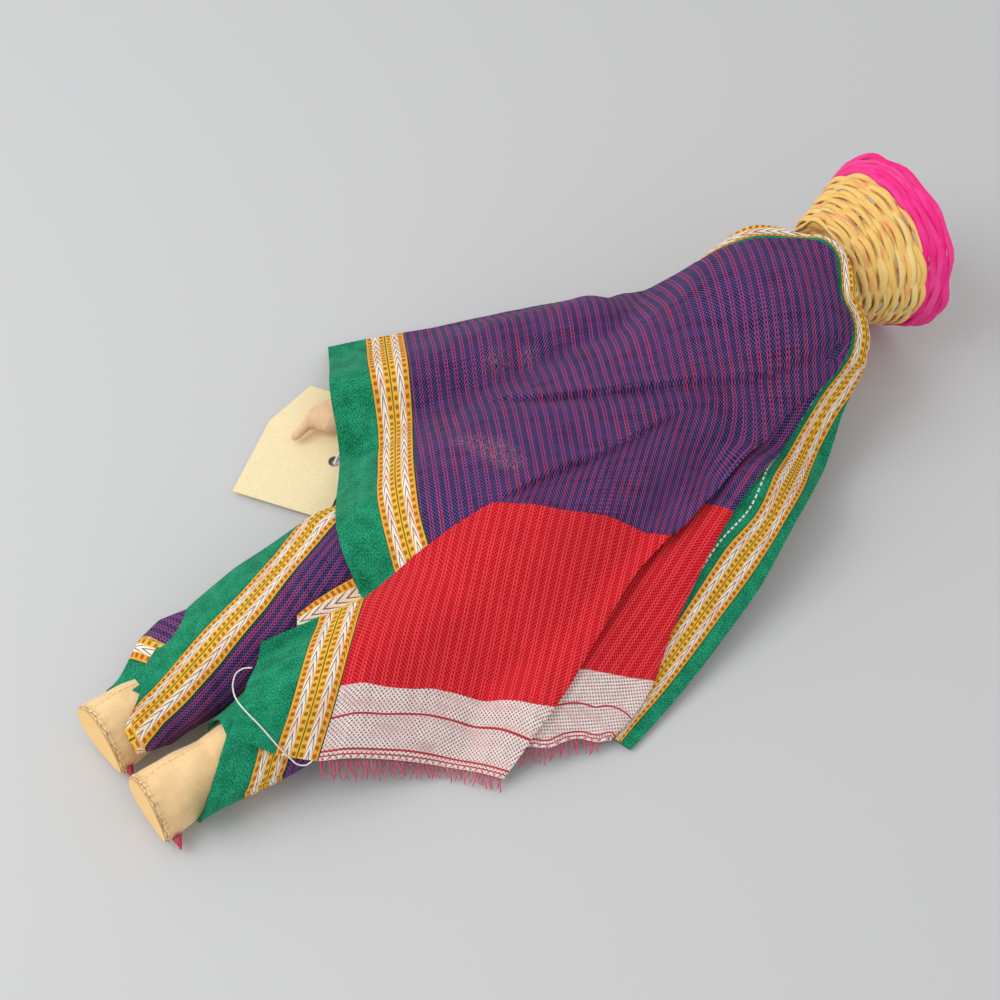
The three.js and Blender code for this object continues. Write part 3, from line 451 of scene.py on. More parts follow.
# %% Thread coordinates of the back
HEM_ACROSS = np.array([0.87, -0.49])
HEM_ALONG = np.array([0.49, 0.87])
END_ALONG = np.array([0.81, 0.58])
HEM_STRETCH = 0.81
CREASE_SLOPE = -0.105
CREASE_START = np.array([-11.0, -5.6])


def back_threads(plan):
    """Across = plan . a, along = plan . b; below the crease a point first slides up its turned thread to
    the crease."""
    past = CREASE_START[1] + CREASE_SLOPE * (plan[..., 0] - CREASE_START[0]) - plan[..., 1]
    slide = np.maximum(past, 0) / (END_ALONG[1] - CREASE_SLOPE * END_ALONG[0])
    slide = slide * smoothstep(64, 40, plan[..., 0])
    at = plan + slide[..., None] * END_ALONG
    return side_by_side(at @ HEM_ACROSS, (at @ HEM_ALONG - slide) * HEM_STRETCH)


def border_map(columns_green, columns_gold, columns_ground, length):
    """Distance from the gold's inner edge: positive through gold and green, negative on the ground."""
    green = np.linspace(GOLD + GREEN, GOLD, columns_green, endpoint=False)
    gold = np.linspace(GOLD, 0, columns_gold, endpoint=False)
    ground = -np.linspace(0, length, columns_ground)
    return np.concatenate([green, gold, ground])


across_border = border_map(12, 12, 126, 120)
FAR_FROM_END = 100.0
INSIDE_GREEN = 200.0
back_maps = {
    "thread": back_threads(back_plan),
    "border": side_by_side(across_border[None, :], np.full((rows, 1), FAR_FROM_END)),
}

# %% [markdown]
# Cloth is never as smooth as the ridges under it. The back has one long pleat step from the shoulder to
# the hood, the shallow crease, a pinch in the hem where it lies over the arm, and small wrinkles
# everywhere. Each is a height that depends on the distance to a line.

# %% Folds of the back
PLEAT = smooth_line([
    (2.3, 40.2), (10.1, 29.8), (20.4, 15), (32.6, 5.9), (41.3, 0.5), (50.2, -4.7), (62.6, -12.6),
    (76, -17.5), (90, -19.4),
    (97.1, -19.6),
], 300)
CREASE = smooth_line([(-9, -5.6), (7.7, -7.3), (21.9, -9.8), (39.3, -10.8), (51, -12.1)], 120)
PINCH = smooth_line([(-26, 50), (-21.5, 46), (-17.6, 42.6), (-13.9, 39.6), (-10, 36.4), (-2.7, 34.3)], 80)


# share of the way from the hem's far corner round to the hood, and how far the cloth hangs lower there
FAR_HANG = [
    (0, 0), (0.12, 1.9), (0.3, 3.4), (0.55, 6.4), (0.68, 7.5), (0.74, 5.6), (0.79, 2.2), (0.84, 0), (1, 0.8),
]


def side_of(plan, line):
    """Signed distance in plan: positive on the left of a line, seen along it."""
    off, share = away_from(plan, line)
    k = np.clip((share * (len(line) - 1)).astype(int), 0, len(line) - 2)
    step = (line[1:] - line[:-1])[k]
    to = plan - line[k]
    return np.where(step[..., 0] * to[..., 1] - step[..., 1] * to[..., 0] >= 0, off, -off), share


def wrinkles(plan, size):
    """A few crossing waves of unlike length and direction, of this height in millimetres."""
    x, y = plan[..., 0], plan[..., 1]
    bent = x + 2.2 * np.sin(y / 8.3) + 1.3 * np.sin(x / 5.1 + y / 13.7)
    other = y + 1.8 * np.sin(x / 9.7 + 1.1)
    waves = np.sin(bent / 2.9 + other / 6.1) + 0.8 * np.sin(other / 3.3 - bent / 8.7 + 2.0)
    waves = waves + 0.7 * np.sin(bent / 1.7 - other / 3.1)
    return size * waves / 2.5


def back_folds(plan):
    """Pleat and crease: a rounded lip above the line and a step below it. Pinch: a trough between two low
    swells."""
    off, share = side_of(plan, PLEAT)
    ends = smoothstep(0.0, 0.35, share) * smoothstep(1.0, 0.95, share)
    lip = 1.0 * np.exp(-((np.maximum(off, 0) / 3.0) ** 2))
    step = 2.5 * smoothstep(0.4, -0.5, off) * np.exp(-((np.minimum(off, 0) / 4.2) ** 2))
    rise = (lip - step) * ends
    off, share = side_of(plan, CREASE)
    ends = smoothstep(0.0, 0.15, share) * smoothstep(1.0, 0.7, share)
    lip = 0.9 * np.exp(-((np.maximum(off, 0) / 2.6) ** 2))
    step = 1.9 * smoothstep(0.4, -0.5, off) * np.exp(-((np.minimum(off, 0) / 3.4) ** 2))
    rise += (lip - step) * ends
    off, share = side_of(plan, PINCH)
    ends = smoothstep(1.0, 0.35, share)
    rise += (-2.4 * np.exp(-((off / 2.4) ** 2)) + 0.9 * np.exp(-(((np.abs(off) - 5.5) / 3.0) ** 2))) * ends
    return rise


off_fold, _ = away_from(back_plan, smooth_line([(95.6, -20.2)] + FOLD_UPPER, 220))
near_floor = smoothstep(2.0, 9.0, drape(back_plan))
back_height = drape(back_plan) + 0.3 + (back_folds(back_plan) + wrinkles(back_plan, 0.22)) * near_floor
back_height += rolled_edge(off_fold, 0.9, 5.0, 0.9)
off_edge, edge_share = away_from(back_plan, smooth_line(LEFT_SIDE + HOOD[1:4], 160))
hang = np.interp(edge_share, *np.array(FAR_HANG).T) * smoothstep(16.0, 0.0, off_edge)
back_height = np.maximum(back_height - hang, np.minimum(back_height, CLOTH_ON_FLOOR))
back = with_height(back_plan, back_height)
print("back panel, height from", round(back[..., 2].min(), 1), "to", round(back[..., 2].max(), 1))

# %% [markdown]
# The left side of the back hangs over the arm. It is cut from the same grid as its own piece.

# %% Back and left side
LEFT_LINE = np.array([[62.0, 55.0], [-42.0, 8.0]])
LEFT_OUT = np.array([-0.412, 0.911])

middle = (back_plan[1:, 1:] + back_plan[:-1, :-1]) / 2
on_left = (middle - LEFT_LINE[0]) @ LEFT_OUT > 0
pallu_back, back_area = cloth_piece("pallu_back", back, back_maps, keep=~on_left)
pallu_left, left_area = cloth_piece("pallu_left", back, back_maps, keep=on_left)
for piece, area, width in ((pallu_back, back_area, 95), (pallu_left, left_area, 70)):
    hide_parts("pallu")
    declare_cloth(area, width)
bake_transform(pallu_back)
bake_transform(pallu_left)

# %% [markdown]
# The folded-over end lies on the back. It carries the same border on its short side, then the red ground,
# the white band and the cut end. It is lifted a little, with rounded lips where it is folded: on the left
# beside the hem, and on the right where the cloth doubles back under itself.

# %% Folded-over end
END_EDGE = [(-73.2, 3.3), (-79.5, -2.2), (-86.5, -9), (-93.3, -14.2)]
END_GOLD_OUTER = [(-57.9, 1.3), (-68, -8.3), (-77.8, -16.7), (-86.1, -22.1)]
END_GOLD_INNER = [(-46.5, -1.9), (-56.2, -11), (-65.4, -18.6), (-78.4, -27.4)]
END_TOP = [
    (-46.5, -1.9), (-35.4, -1.1), (-24.8, -3.6), (-16.6, -4.9), (-11, -5.8), (-5, -9.7), (2.5, -16.1),
    (14.9, -24.8),
    (23.4, -34.4),
]
FOLD_LOWER = [
    (23.4, -34.4), (13.1, -35.6), (1.9, -39.5), (-9.3, -43.8), (-16.5, -46.6), (-24.5, -49.2),
    (-33.4, -51.4), (-43.1, -53.4),
]
CUT_END = [(-78.4, -27.4), (-69.3, -31.7), (-62.2, -35.6), (-53.2, -41.7), (-47.3, -47.7), (-43.1, -53.4)]
WHITE_START = [
    (-66.5, -17.2), (-62.8, -19.5), (-56.8, -23), (-47.4, -28.7), (-36.8, -36), (-30.6, -43.2),
    (-24.5, -49.2),
]
RED_LINE_AT = [
    (-72.5, -21.6), (-64.1, -25.1), (-57.4, -28.4), (-50.4, -32.6), (-40.2, -40.6), (-33.4, -51.4),
]
WHITE_BAND = 25.0
RED_GROUND = 57.0
RED_LINE_FROM_CUT = 14.7
END_ACROSS = np.array([0.622, -0.784])

down = 96
end_lines = [smooth_line(line, down) for line in (END_EDGE, END_GOLD_OUTER, END_GOLD_INNER)]
end_body = coons(
    smooth_line(END_TOP, 120), smooth_line(CUT_END, 120), end_lines[2], smooth_line(FOLD_LOWER, down)
)
end_plan = np.concatenate(
    [ruled(*end_lines[:2], 12), ruled(*end_lines[1:], 12), end_body.transpose(1, 0, 2)], axis=1
)
share_down = np.linspace(0, 1, down)[:, None]


def crossing(line):
    """For each column of the panel, the share of the way down at which it comes nearest to a line in
    plan."""
    off, _ = away_from(end_plan, smooth_line(line, 400))
    share = off.argmin(axis=0) / (down - 1)
    smooth = np.polyval(np.polyfit(np.arange(120), share[24:], 5), np.arange(120))
    return np.concatenate([np.full(24, smooth[0]), smooth])[None, :]


white_at, red_line_at = crossing(WHITE_START), crossing(RED_LINE_AT)
to_cut = np.where(
    share_down < red_line_at,
    WHITE_BAND + (RED_LINE_FROM_CUT - WHITE_BAND) * (share_down - white_at) / (red_line_at - white_at),
    RED_LINE_FROM_CUT * (1 - share_down) / (1 - red_line_at),
)
to_cut = np.where(share_down < white_at, WHITE_BAND + RED_GROUND * (1 - share_down / white_at), to_cut)
end_across = border_map(12, 12, 120, 80)
long_side = length_of(smooth_line(FOLD_LOWER, down))
row_long = np.concatenate(
    [np.full(24, length_of(end_lines[1])), np.linspace(length_of(end_lines[2]), long_side, 120)]
)
end_maps = {
    "thread": side_by_side((end_plan - END_GOLD_INNER[0]) @ END_ACROSS, (1 - share_down) * row_long),
    "border": side_by_side(end_across[None, :], to_cut),
}
off_right, _ = away_from(end_plan, smooth_line(FOLD_LOWER, 160))
off_left, _ = away_from(end_plan, smooth_line(END_TOP[:5], 120))
lips = rolled_edge(off_right, 0.2, 6.0, 0.6) + 0.4 * np.exp(-((off_left / 3.0) ** 2))
near_floor = smoothstep(2.0, 9.0, drape(end_plan))
lift = np.concatenate([np.full(24, 0.3), 0.3 + 0.45 * smoothstep(0, 12, np.arange(120))])
end_height = drape(end_plan) + lift + lips + (back_folds(end_plan) + wrinkles(end_plan, 0.22)) * near_floor
pallu_end, end_area = cloth_piece("pallu_end", with_height(end_plan, end_height), end_maps)
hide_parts("pallu")

# %% [markdown]
# The cut end has frayed: its last red threads stick out. Each is a thin tube from the cut to a point on
# the floor, with a seeded length, turn and bend. They belong to the cloth.

# %% Fringe of the folded end
def fray(name, cut, height, toward, count, longest, seed):
    """Starts spread evenly along a cut line, ends at a seeded distance and angle from it, down on the
    floor."""
    rng = np.random.default_rng(seed)
    spots = np.linspace(0.02, 0.985, count) * 399 + rng.uniform(-3, 3, count)
    at = smooth_line(cut, 400)[spots.clip(0, 399).astype(int)]
    angle = np.arctan2(toward[1], toward[0]) + rng.normal(0, 0.22, count)
    far = at + np.column_stack([np.cos(angle), np.sin(angle)]) * rng.uniform(0.55, 1.0, (count, 1)) * longest
    low = np.maximum(np.minimum(height(at), drape(far) * 0.6), 0.3)
    starts = np.column_stack([at, height(at) - 0.1])
    return strands(name, starts, np.column_stack([far, low]), 0.55, seed)


FRAY_WAY = (-0.62, -0.78)
end_fringe = fray("end_fringe", CUT_END, lambda at: drape(at) + 0.7, FRAY_WAY, 48, 3.1, 7)
declare_cloth(end_area, 70)
for piece in (pallu_end, end_fringe):
    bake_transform(piece)

# %% [markdown]
# Above the folded end's upper edge a narrow tuck of the same border looks out. It is a ruled strip
# between two lines.

# %% Tuck beside the folded end
TUCK_LOWER = [(-64.5, 1.2), (-58, 0.2), (-50, -1.2), (-44, -2.6)]
TUCK_UPPER = [(-62, 4.4), (-57, 4.8), (-51, 4.8), (-44, 4.4)]
tuck_sides = [smooth_line(line, 60) for line in (TUCK_LOWER, TUCK_UPPER)]
tuck_plan = np.concatenate([ruled(*tuck_sides, 12), tuck_sides[1][:, None]], axis=1)
tuck_height = drape(tuck_plan) + 0.05 - np.linspace(0, 1.1, 13) ** 4
tuck_across = np.broadcast_to(np.linspace(5.6, 9.3, 13), tuck_height.shape)
tuck_maps = {
    "thread": side_by_side(tuck_across, -tuck_plan[..., 0]),
    "border": side_by_side(tuck_across, FAR_FROM_END),
}
pallu_tuck, tuck_area = cloth_piece("pallu_tuck", with_height(tuck_plan, tuck_height), tuck_maps)
declare_cloth(tuck_area, 10)
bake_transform(pallu_tuck)

# %% [markdown]
# Under the fold the cloth goes on to the right as a narrow strip: purple, then red, then the white band
# and its cut end. Its lines cross the strip at a slant, so the distance to the cut end is worked out from
# three such lines in plan.

# %% Strip under the fold
STRIP_LEFT = [
    (93, -19.2), (86, -21.2), (72, -21.4), (52, -25.6), (30, -29.6), (8, -33), (-15, -40), (-34, -49),
    (-36.5, -50.4),
]
STRIP_RIGHT = [
    (95.3, -20.4), (88.4, -23.2), (79.2, -25.1), (69.4, -27.8), (55.8, -33.4), (41, -37.8), (29.5, -42.2),
    (20.8, -46),
    (12, -50), (-0.5, -57.2), (-11, -60.2), (-15.9, -60.8),
]
STRIP_CUT = smooth_line([
    (-36.5, -50.4), (-34, -51.7), (-29.9, -54.6), (-25.9, -55.3), (-22.4, -56.6), (-18.2, -60),
    (-15.9, -60.8),
], 80)
STRIP_ALONG = np.array([0.95, 0.32])
STRIP_ACROSS = np.array([0.32, -0.95])

strip_sides = [smooth_line(STRIP_LEFT, 190), smooth_line(STRIP_RIGHT, 190)]
strip_plan = np.concatenate([ruled(*strip_sides, 30), strip_sides[1][:, None]], axis=1)
end_share = smoothstep(150, 189, np.arange(190))[:, None, None]
cut_shift = STRIP_CUT[np.linspace(0, 79, 31).astype(int)] - strip_plan[-1]
strip_plan = strip_plan + end_share * cut_shift
x, y = strip_plan[..., 0], strip_plan[..., 1]
past_red = x + 0.707 * y - 14.0
past_white = x + 1.33 * y + 73.3
past_cut = away_from(strip_plan, STRIP_CUT)[0]
strip_to_cut = np.where(
    past_white > 0,
    WHITE_BAND + RED_GROUND * past_white / np.maximum(past_white - past_red, 1),
    np.minimum(past_cut * 2.0, WHITE_BAND - 0.3),
)
strip_to_cut = np.where(past_red > 0, WHITE_BAND + RED_GROUND + past_red, strip_to_cut)
strip_maps = {
    "thread": side_by_side(strip_plan @ STRIP_ACROSS, strip_plan @ STRIP_ALONG),
    "border": side_by_side(np.full(x.shape, -60.0), strip_to_cut),
}
off_right, _ = away_from(strip_plan, smooth_line(STRIP_RIGHT, 220))
strip_height = np.maximum(drape(strip_plan) - 0.25 + rolled_edge(off_right, 0.8, 3.5, 0.7), 0.9)
pallu_strip, strip_area = cloth_piece("pallu_strip", with_height(strip_plan, strip_height), strip_maps)
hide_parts("pallu")
strip_fringe = fray(
    "strip_fringe", STRIP_CUT[::8], lambda at: np.maximum(drape(at) - 0.3, 0.9), FRAY_WAY, 20, 3.4, 8
)
declare_cloth(strip_area, 20)
for piece in (pallu_strip, strip_fringe):
    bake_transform(piece)

# %% [markdown]
# The far border frames the head like a hood and then runs down the right side to a square cut end. It is
# one ribbon between three lines in plan: the gold's inner edge, its outer edge and the edge of the green.
# Round the crown only part of its gold shows and the rest turns down behind, and on the right it lies
# open, with green on both sides of the gold.

# %% Far border
HOOD_GOLD = [0.2, 1.2, 2.0, 1.6, 0.4, 0.6, 1.6, 2.4, 2.8, 3.0, 2.8, 2.6, 2.6]
HOOD_OUT = [-2.5, 0.6, 1.5, 1.6, 1.5, 1.6, 1.8, 1.9, 1.9, 1.8, 1.6, 1.5, 1.5]
HOOD_FLARE = [0.1, 0.8, 1, 1, 1, 1, 1, 1, 1, 1, 1, 0.8, 0.4]
HOOD_RISE = [0, 0.4, 1.2, 0.9, 0.2, 0, 0, 0, 0, 0, 0, 0, 0]
HOOD_SHOWN_FROM = 1.5
hood_line = np.array(HOOD[3:])
hood_step = np.gradient(hood_line, axis=0)
hood_out = np.column_stack([-hood_step[:, 1], hood_step[:, 0]])
hood_out /= np.linalg.norm(hood_out, axis=1, keepdims=True)
gold_from = np.array(HOOD_OUT)[:, None]
gold_to = gold_from + np.array(HOOD_GOLD)[:, None]
drop_down = np.linspace(3.5, 1.0, len(hood_line))
crown_part = np.column_stack([
    hood_line + hood_out * gold_from, hood_line + hood_out * gold_to, hood_line + hood_out * (gold_to + 1.0),
    drop_down, np.array(HOOD_GOLD) * 1.35, HOOD_FLARE, HOOD_RISE, np.full(len(hood_line), HOOD_SHOWN_FROM),
])
# columns: the gold's inner edge, its outer edge and the green's edge in plan, drop of that edge,
# gold that shows, flare
side_part = np.array([
    (90.2, -23.5, 93.2, -24.2, 97.6, -24.9, 0.5, 4.2, 0.1),
    (83.8, -24.9, 86.9, -26.2, 91.4, -27.6, 0, 4.8, 0),
    (78.7, -26.2, 82.9, -28.0, 87.0, -29.6, 0, 6.5, 0), (70.9, -28.6, 77.0, -32.3, 79.6, -34.2, 0, GOLD, 0),
    (58.5, -34.6, 63.0, -40.6, 64.2, -42.6, 0, GOLD, 0), (47.9, -40.2, 52.0, -45.4, 53.2, -47.4, 0, GOLD, 0),
    (34.6, -42.9, 38.0, -50.0, 39.0, -53.0, 0, GOLD, 0), (23.3, -46.4, 26.4, -53.0, 27.6, -56.2, 0, GOLD, 0),
    (12, -49.8, 14.6, -56.0, 15.6, -59.2, 0, GOLD, 0), (0, -53.4, 2.4, -58.9, 3.2, -62.0, 0, GOLD, 0),
    (-10, -56.2, -7.6, -60.9, -6.6, -64.0, 0, GOLD, 0),
    (-15.6, -58.4, -13.9, -62.4, -12.9, -65.2, 0, GOLD, 0),
])
side_part = np.column_stack([side_part, np.zeros((len(side_part), 2))])
ribbon = smooth_line(np.concatenate([crown_part, side_part]), 300, kept=2)
ribbon_lines = [ribbon[:, 0:2], ribbon[:, 2:4], ribbon[:, 4:6]]
drop, gold_shown, flare, frill, shown_from = ribbon[:, 6:].T
inward = ribbon_lines[0] - ribbon_lines[2]
inward /= np.maximum(np.linalg.norm(inward, axis=1, keepdims=True), 0.1)
ribbon_lines.insert(0, ribbon_lines[0] + inward * 5.0)
outer_green = np.linalg.norm(ribbon_lines[3] - ribbon_lines[2], axis=1)
ribbon_plan = np.concatenate([
    *(ruled(*ribbon_lines[k : k + 2], count) for k, count in enumerate((6, 12, 5))), ribbon_lines[3][:, None]
], axis=1)
ribbon_across = np.concatenate(
    [np.linspace(-5.0, 0, 6, endpoint=False) + 0 * gold_shown[:, None],
     shown_from[:, None] + np.linspace(0, 1, 12, endpoint=False) * gold_shown[:, None],
     (shown_from + gold_shown)[:, None] + np.linspace(0, 1, 6) * (drop + outer_green)[:, None]], axis=1
)
ribbon_along = -np.concatenate([[0], np.cumsum(np.linalg.norm(np.diff(ribbon[:, 2:4], axis=0), axis=1))])
ribbon_maps = {
    "thread": side_by_side(ribbon_across, ribbon_along[:, None]),
    "border": side_by_side(ribbon_across, np.full(ribbon_across.shape, INSIDE_GREEN)),
}
tucked = np.concatenate([np.linspace(1.0, 0.5, 6), np.zeros(18)])
turned_down = np.concatenate([[0.4, 0.4, 0.4, 0.3, 0.1, 0.0], np.zeros(12), np.linspace(0, 1, 6) ** 1.5])
lying = np.maximum(drape(ribbon_plan) - 0.9 - tucked, 0.5)
hood_height = drape(smooth_line(HOOD[3:] + [row[:2] for row in side_part.tolist()], 300))[:, None]
stand_up = np.concatenate([np.zeros(4), np.linspace(0, 1, 14), np.linspace(1, 0.6, 6)])
raised = hood_height + 0.1 + frill[:, None] * stand_up - turned_down * drop[:, None]
raised = raised - 0.35 * np.abs(np.linspace(-1, 1, 24))
ripple = 0.25 * np.sin(ribbon_along[:, None] / 3.7)
ribbon_height = lying + (raised + ripple - lying) * flare[:, None]
pallu_border, border_area = cloth_piece(
    "pallu_border", with_height(ribbon_plan, ribbon_height), ribbon_maps, thick=0.6
)
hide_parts("pallu")
declare_cloth(border_area, 16)
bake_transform(pallu_border)

# %% [markdown]
# Each leg is wrapped in the sari too. A wrap is a sheet bent round the leg: its section is a circle about
# the leg's middle line, widened on the outer side where the cloth flares to the floor. The border runs
# down the left leg, so the pattern is placed by two lines, the gold's edges, whose lengths round the
# section are looked up by their place in plan.

# %% Leg wraps
LEG_X = np.array([-14.0, -98.0])
LEG_Y = np.array([12.6, 11.2])
LEG_Z = np.array([12.5, 10.7])
WRAP_RADIUS = np.array([
    (-112, 9.6), (-106, 9.1), (-98, 8.9), (-82, 10.4), (-66, 10.9), (-52, 11.2), (-26, 12.3),
]).T


def leg_middle(x, side):
    """The leg's middle line at x: straight from hip to ankle, on the left (1) or right (-1)."""
    share = (x - LEG_X[0]) / (LEG_X[1] - LEG_X[0])
    return side * (LEG_Y[0] + (LEG_Y[1] - LEG_Y[0]) * share), LEG_Z[0] + (LEG_Z[1] - LEG_Z[0]) * share


def wrap_grid(x, turn, side, flare, grow=0.0, droop=0.0, inner=0.0, floor=0.9):
    """At x and angle a from the top: y = middle + side (r + flare s(a)) sin a, z = middle + r cos a,
    never in the floor.

    On the outer side `droop` lowers z by that share of its height, and `inner` widens the inner side."""
    middle_y, middle_z = leg_middle(x, side)
    r = np.interp(x, *WRAP_RADIUS) + grow
    wide = r + flare * smoothstep(0.2, 1.5, turn) + inner * smoothstep(-0.4, -1.4, turn)
    z = np.maximum((middle_z + r * np.cos(turn)) * (1 - droop * smoothstep(0.2, 1.2, turn)), floor)
    return side_by_side(x, middle_y + side * wide * np.sin(turn), z)


LEFT_FLARE = np.array([
    (-110, 0.0), (-100, 0.5), (-92, 2.5), (-80, 5.5), (-65, 7.5), (-50, 7.5), (-40, 7.2), (-34, 5.0),
    (-28, 0.5),
]).T
LEFT_EDGE_DEGREES = np.array([
    (-112, 24), (-101, 30), (-92, 62), (-81, 95), (-70, 108), (-60, 118), (-26, 130),
]).T
INNER_TURN = np.array([(-112, -2.1), (-100, -2.0), (-80, -1.9), (-60, -1.8), (-40, -1.7), (-26, -1.7)]).T
INNER_BULGE = np.array([(-112, 2.6), (-100, 2.2), (-80, 1.4), (-66, 0.6), (-50, 0.0)]).T
LEFT_GOLD_OUTER = np.array([
    (-112, 7.6), (-106.5, 8.6), (-94.8, 11.2), (-80.6, 15.2), (-70, 18.4), (-56.9, 24), (-40.9, 33),
    (-26, 36),
]).T
LEFT_GOLD_INNER = np.array([
    (-112, -0.4), (-104.5, 0.8), (-98.6, 2.4), (-91.3, 3.4), (-80.4, 5.8), (-65.6, 10.3), (-52.6, 16),
    (-39.7, 21), (-26, 25),
]).T

round_share = np.linspace(0, 1, 96)[None, :]
down_share = np.linspace(0, 1, 110)[:, None]
hem_x = -102.0 - 9.0 * smoothstep(0.85, 0.5, round_share) + 5.0 * smoothstep(0.3, 0.1, round_share)
left_x = -28.0 + (hem_x + 28.0) * down_share
inner_turn = np.interp(left_x, *INNER_TURN)
left_turn = inner_turn + (np.radians(np.interp(left_x, *LEFT_EDGE_DEGREES)) - inner_turn) * round_share
bent_in = 0.35 * np.sin(left_x / 5.0 + 2.0) * np.exp(-(((left_turn + 1.0) / 0.5) ** 2))
curl_in = 2.0 * smoothstep(4.5, 0.0, left_x - hem_x) ** 2 * smoothstep(0.75, 0.6, round_share)
left_wrap = wrap_grid(
    left_x, left_turn, 1, np.interp(left_x, *LEFT_FLARE), 0.2 * np.sin(left_x / 7) + bent_in - curl_in,
    inner=np.interp(left_x, *INNER_BULGE),
)
left_wrap[..., 2] += 0.35 * np.exp(-(((1 - round_share) / 0.03) ** 2))
arc_steps = np.linalg.norm(np.diff(left_wrap, axis=1), axis=2)
arc = np.concatenate([np.zeros((110, 1)), np.cumsum(arc_steps, axis=1)], axis=1)
top_half = slice(14, 84)
gold_arcs = np.array([
    [
        np.interp(np.interp(px.mean(), *edge), py[top_half], pa[top_half])
        for edge in (LEFT_GOLD_INNER, LEFT_GOLD_OUTER)
    ]
    for px, py, pa in zip(left_x, left_wrap[..., 1], arc)
])
left_across = GOLD * (arc - gold_arcs[:, :1]) / np.maximum(gold_arcs[:, 1:] - gold_arcs[:, :1], 4.0)
left_across = np.where(left_across < 0, arc - gold_arcs[:, :1], left_across)
left_maps = {
    "thread": side_by_side(left_across, left_x),
    "border": side_by_side(left_across, np.full(left_x.shape, FAR_FROM_END)),
}
left_wrap_cloth, left_wrap_area = cloth_piece("left_wrap_cloth", left_wrap, left_maps)
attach(left_wrap_cloth, "left_leg")
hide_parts("left_leg_wrap")
declare_cloth(left_wrap_area, 60)

# %% [markdown]
# Under the left wrap a lower layer shows at the ankle, and the right leg has the same cuff: there the
# border goes round the leg, so the pattern is measured along it, from the cuff's lower edge.

# %% Cuffs
def cuff(name, side, first_turn, last_turn, top_x, end_x, flare, grow, green, hidden=0.0, droop=0.0):
    """A wrap whose border goes round: across = gold + green less the distance to the lower edge.

    `hidden` is the part of the gold that is folded out of sight behind its outer half."""
    t = np.linspace(0, 1, 110)[:, None]
    a = np.linspace(first_turn, last_turn, 90)[None, :]
    low_x = np.interp(a, *end_x)
    x = top_x + (low_x - top_x) * t
    near_end = smoothstep(14.0, 2.0, x - low_x)
    grid = wrap_grid(x, a, side, np.interp(x, *flare), grow - 0.9 * near_end, droop * near_end)
    from_end = x - low_x
    across_cuff = GOLD + green - from_end - hidden * smoothstep(green + 4.8, green + 5.2, from_end)
    arc_round = np.broadcast_to(a * 10.0, x.shape)
    maps = {
        "thread": side_by_side(across_cuff, arc_round),
        "border": side_by_side(across_cuff, np.full(x.shape, FAR_FROM_END)),
    }
    return cloth_piece(name, grid, maps)


CUFF_FLARE_LEFT = np.array([(-108, 5.5), (-98, 7.5), (-88, 8.8), (-80, 6.0), (-74, 1.0), (-60, 0.0)]).T
CUFF_FLARE_RIGHT = np.array([(-108, 2.0), (-90, 2.5), (-70, 2.5)]).T
left_end = np.array([(-2.2, -104), (0.0, -103), (0.8, -105), (1.4, -107.5), (2.2, -108)]).T
right_end = np.array([
    (-1.6, -94), (-0.6, -91.5), (0.0, -92.5), (0.6, -98.5), (1.1, -104), (1.5, -107.5), (2.6, -108),
]).T
left_cuff_cloth, left_cuff_area = cuff(
    "left_cuff_cloth", 1, -0.3, 2.2, -52.0, left_end, CUFF_FLARE_LEFT, -0.9, 8.5, hidden=5.0, droop=0.6
)
right_cuff_cloth, right_cuff_area = cuff(
    "right_cuff_cloth", -1, -1.6, 2.6, -28.0, right_end, CUFF_FLARE_RIGHT, 0.0, 11.5
)
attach(left_cuff_cloth, "left_leg")
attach(right_cuff_cloth, "right_leg")
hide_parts("right_leg_wrap")
declare_cloth(left_cuff_area, 50)
declare_cloth(right_cuff_area, 50)

# %% [markdown]
# The hand is a small stuffed mitten with one pinched fingertip. The feet are muslin sewn over a flat card
# sole. A foot is a loft: rings that change from the round ankle to the sole's egg outline. Near the sole
# the seam pulls the cloth in and leaves a small welt. The sole is a thin dished plate of its own.

# %% Hand, feet and soles
SOLE_LONG, SOLE_WIDE, SOLE_TAPER = 19.0, 15.0, 0.4
SOLE_LEAN = np.tan(np.radians(6.0))
SOLE_MIDDLE_Z = 8.3
SOLE_ROLL = np.radians(208.0)
SOLE_TURN, SOLE_SCALE = {1: 0.08, -1: 0.0}, {1: 1.0, -1: 0.92}
ANKLE_RADIUS, ANKLE_SINK = 7.2, 1.2
FOOT_TOP_X, FOOT_END_X = -90.0, -115.9


def sole_ring(angle, scale):
    """Egg outline: along = L/2 cos a, across = W/2 sin a (1 - taper cos a), turned by the roll of the
    foot."""
    a = angle - SOLE_ROLL
    along = scale * SOLE_LONG / 2 * np.cos(a)
    across = scale * SOLE_WIDE / 2 * np.sin(a) * (1 - SOLE_TAPER * np.cos(a))
    c, s = np.cos(SOLE_ROLL), np.sin(SOLE_ROLL)
    return along * c - across * s, along * s + across * c


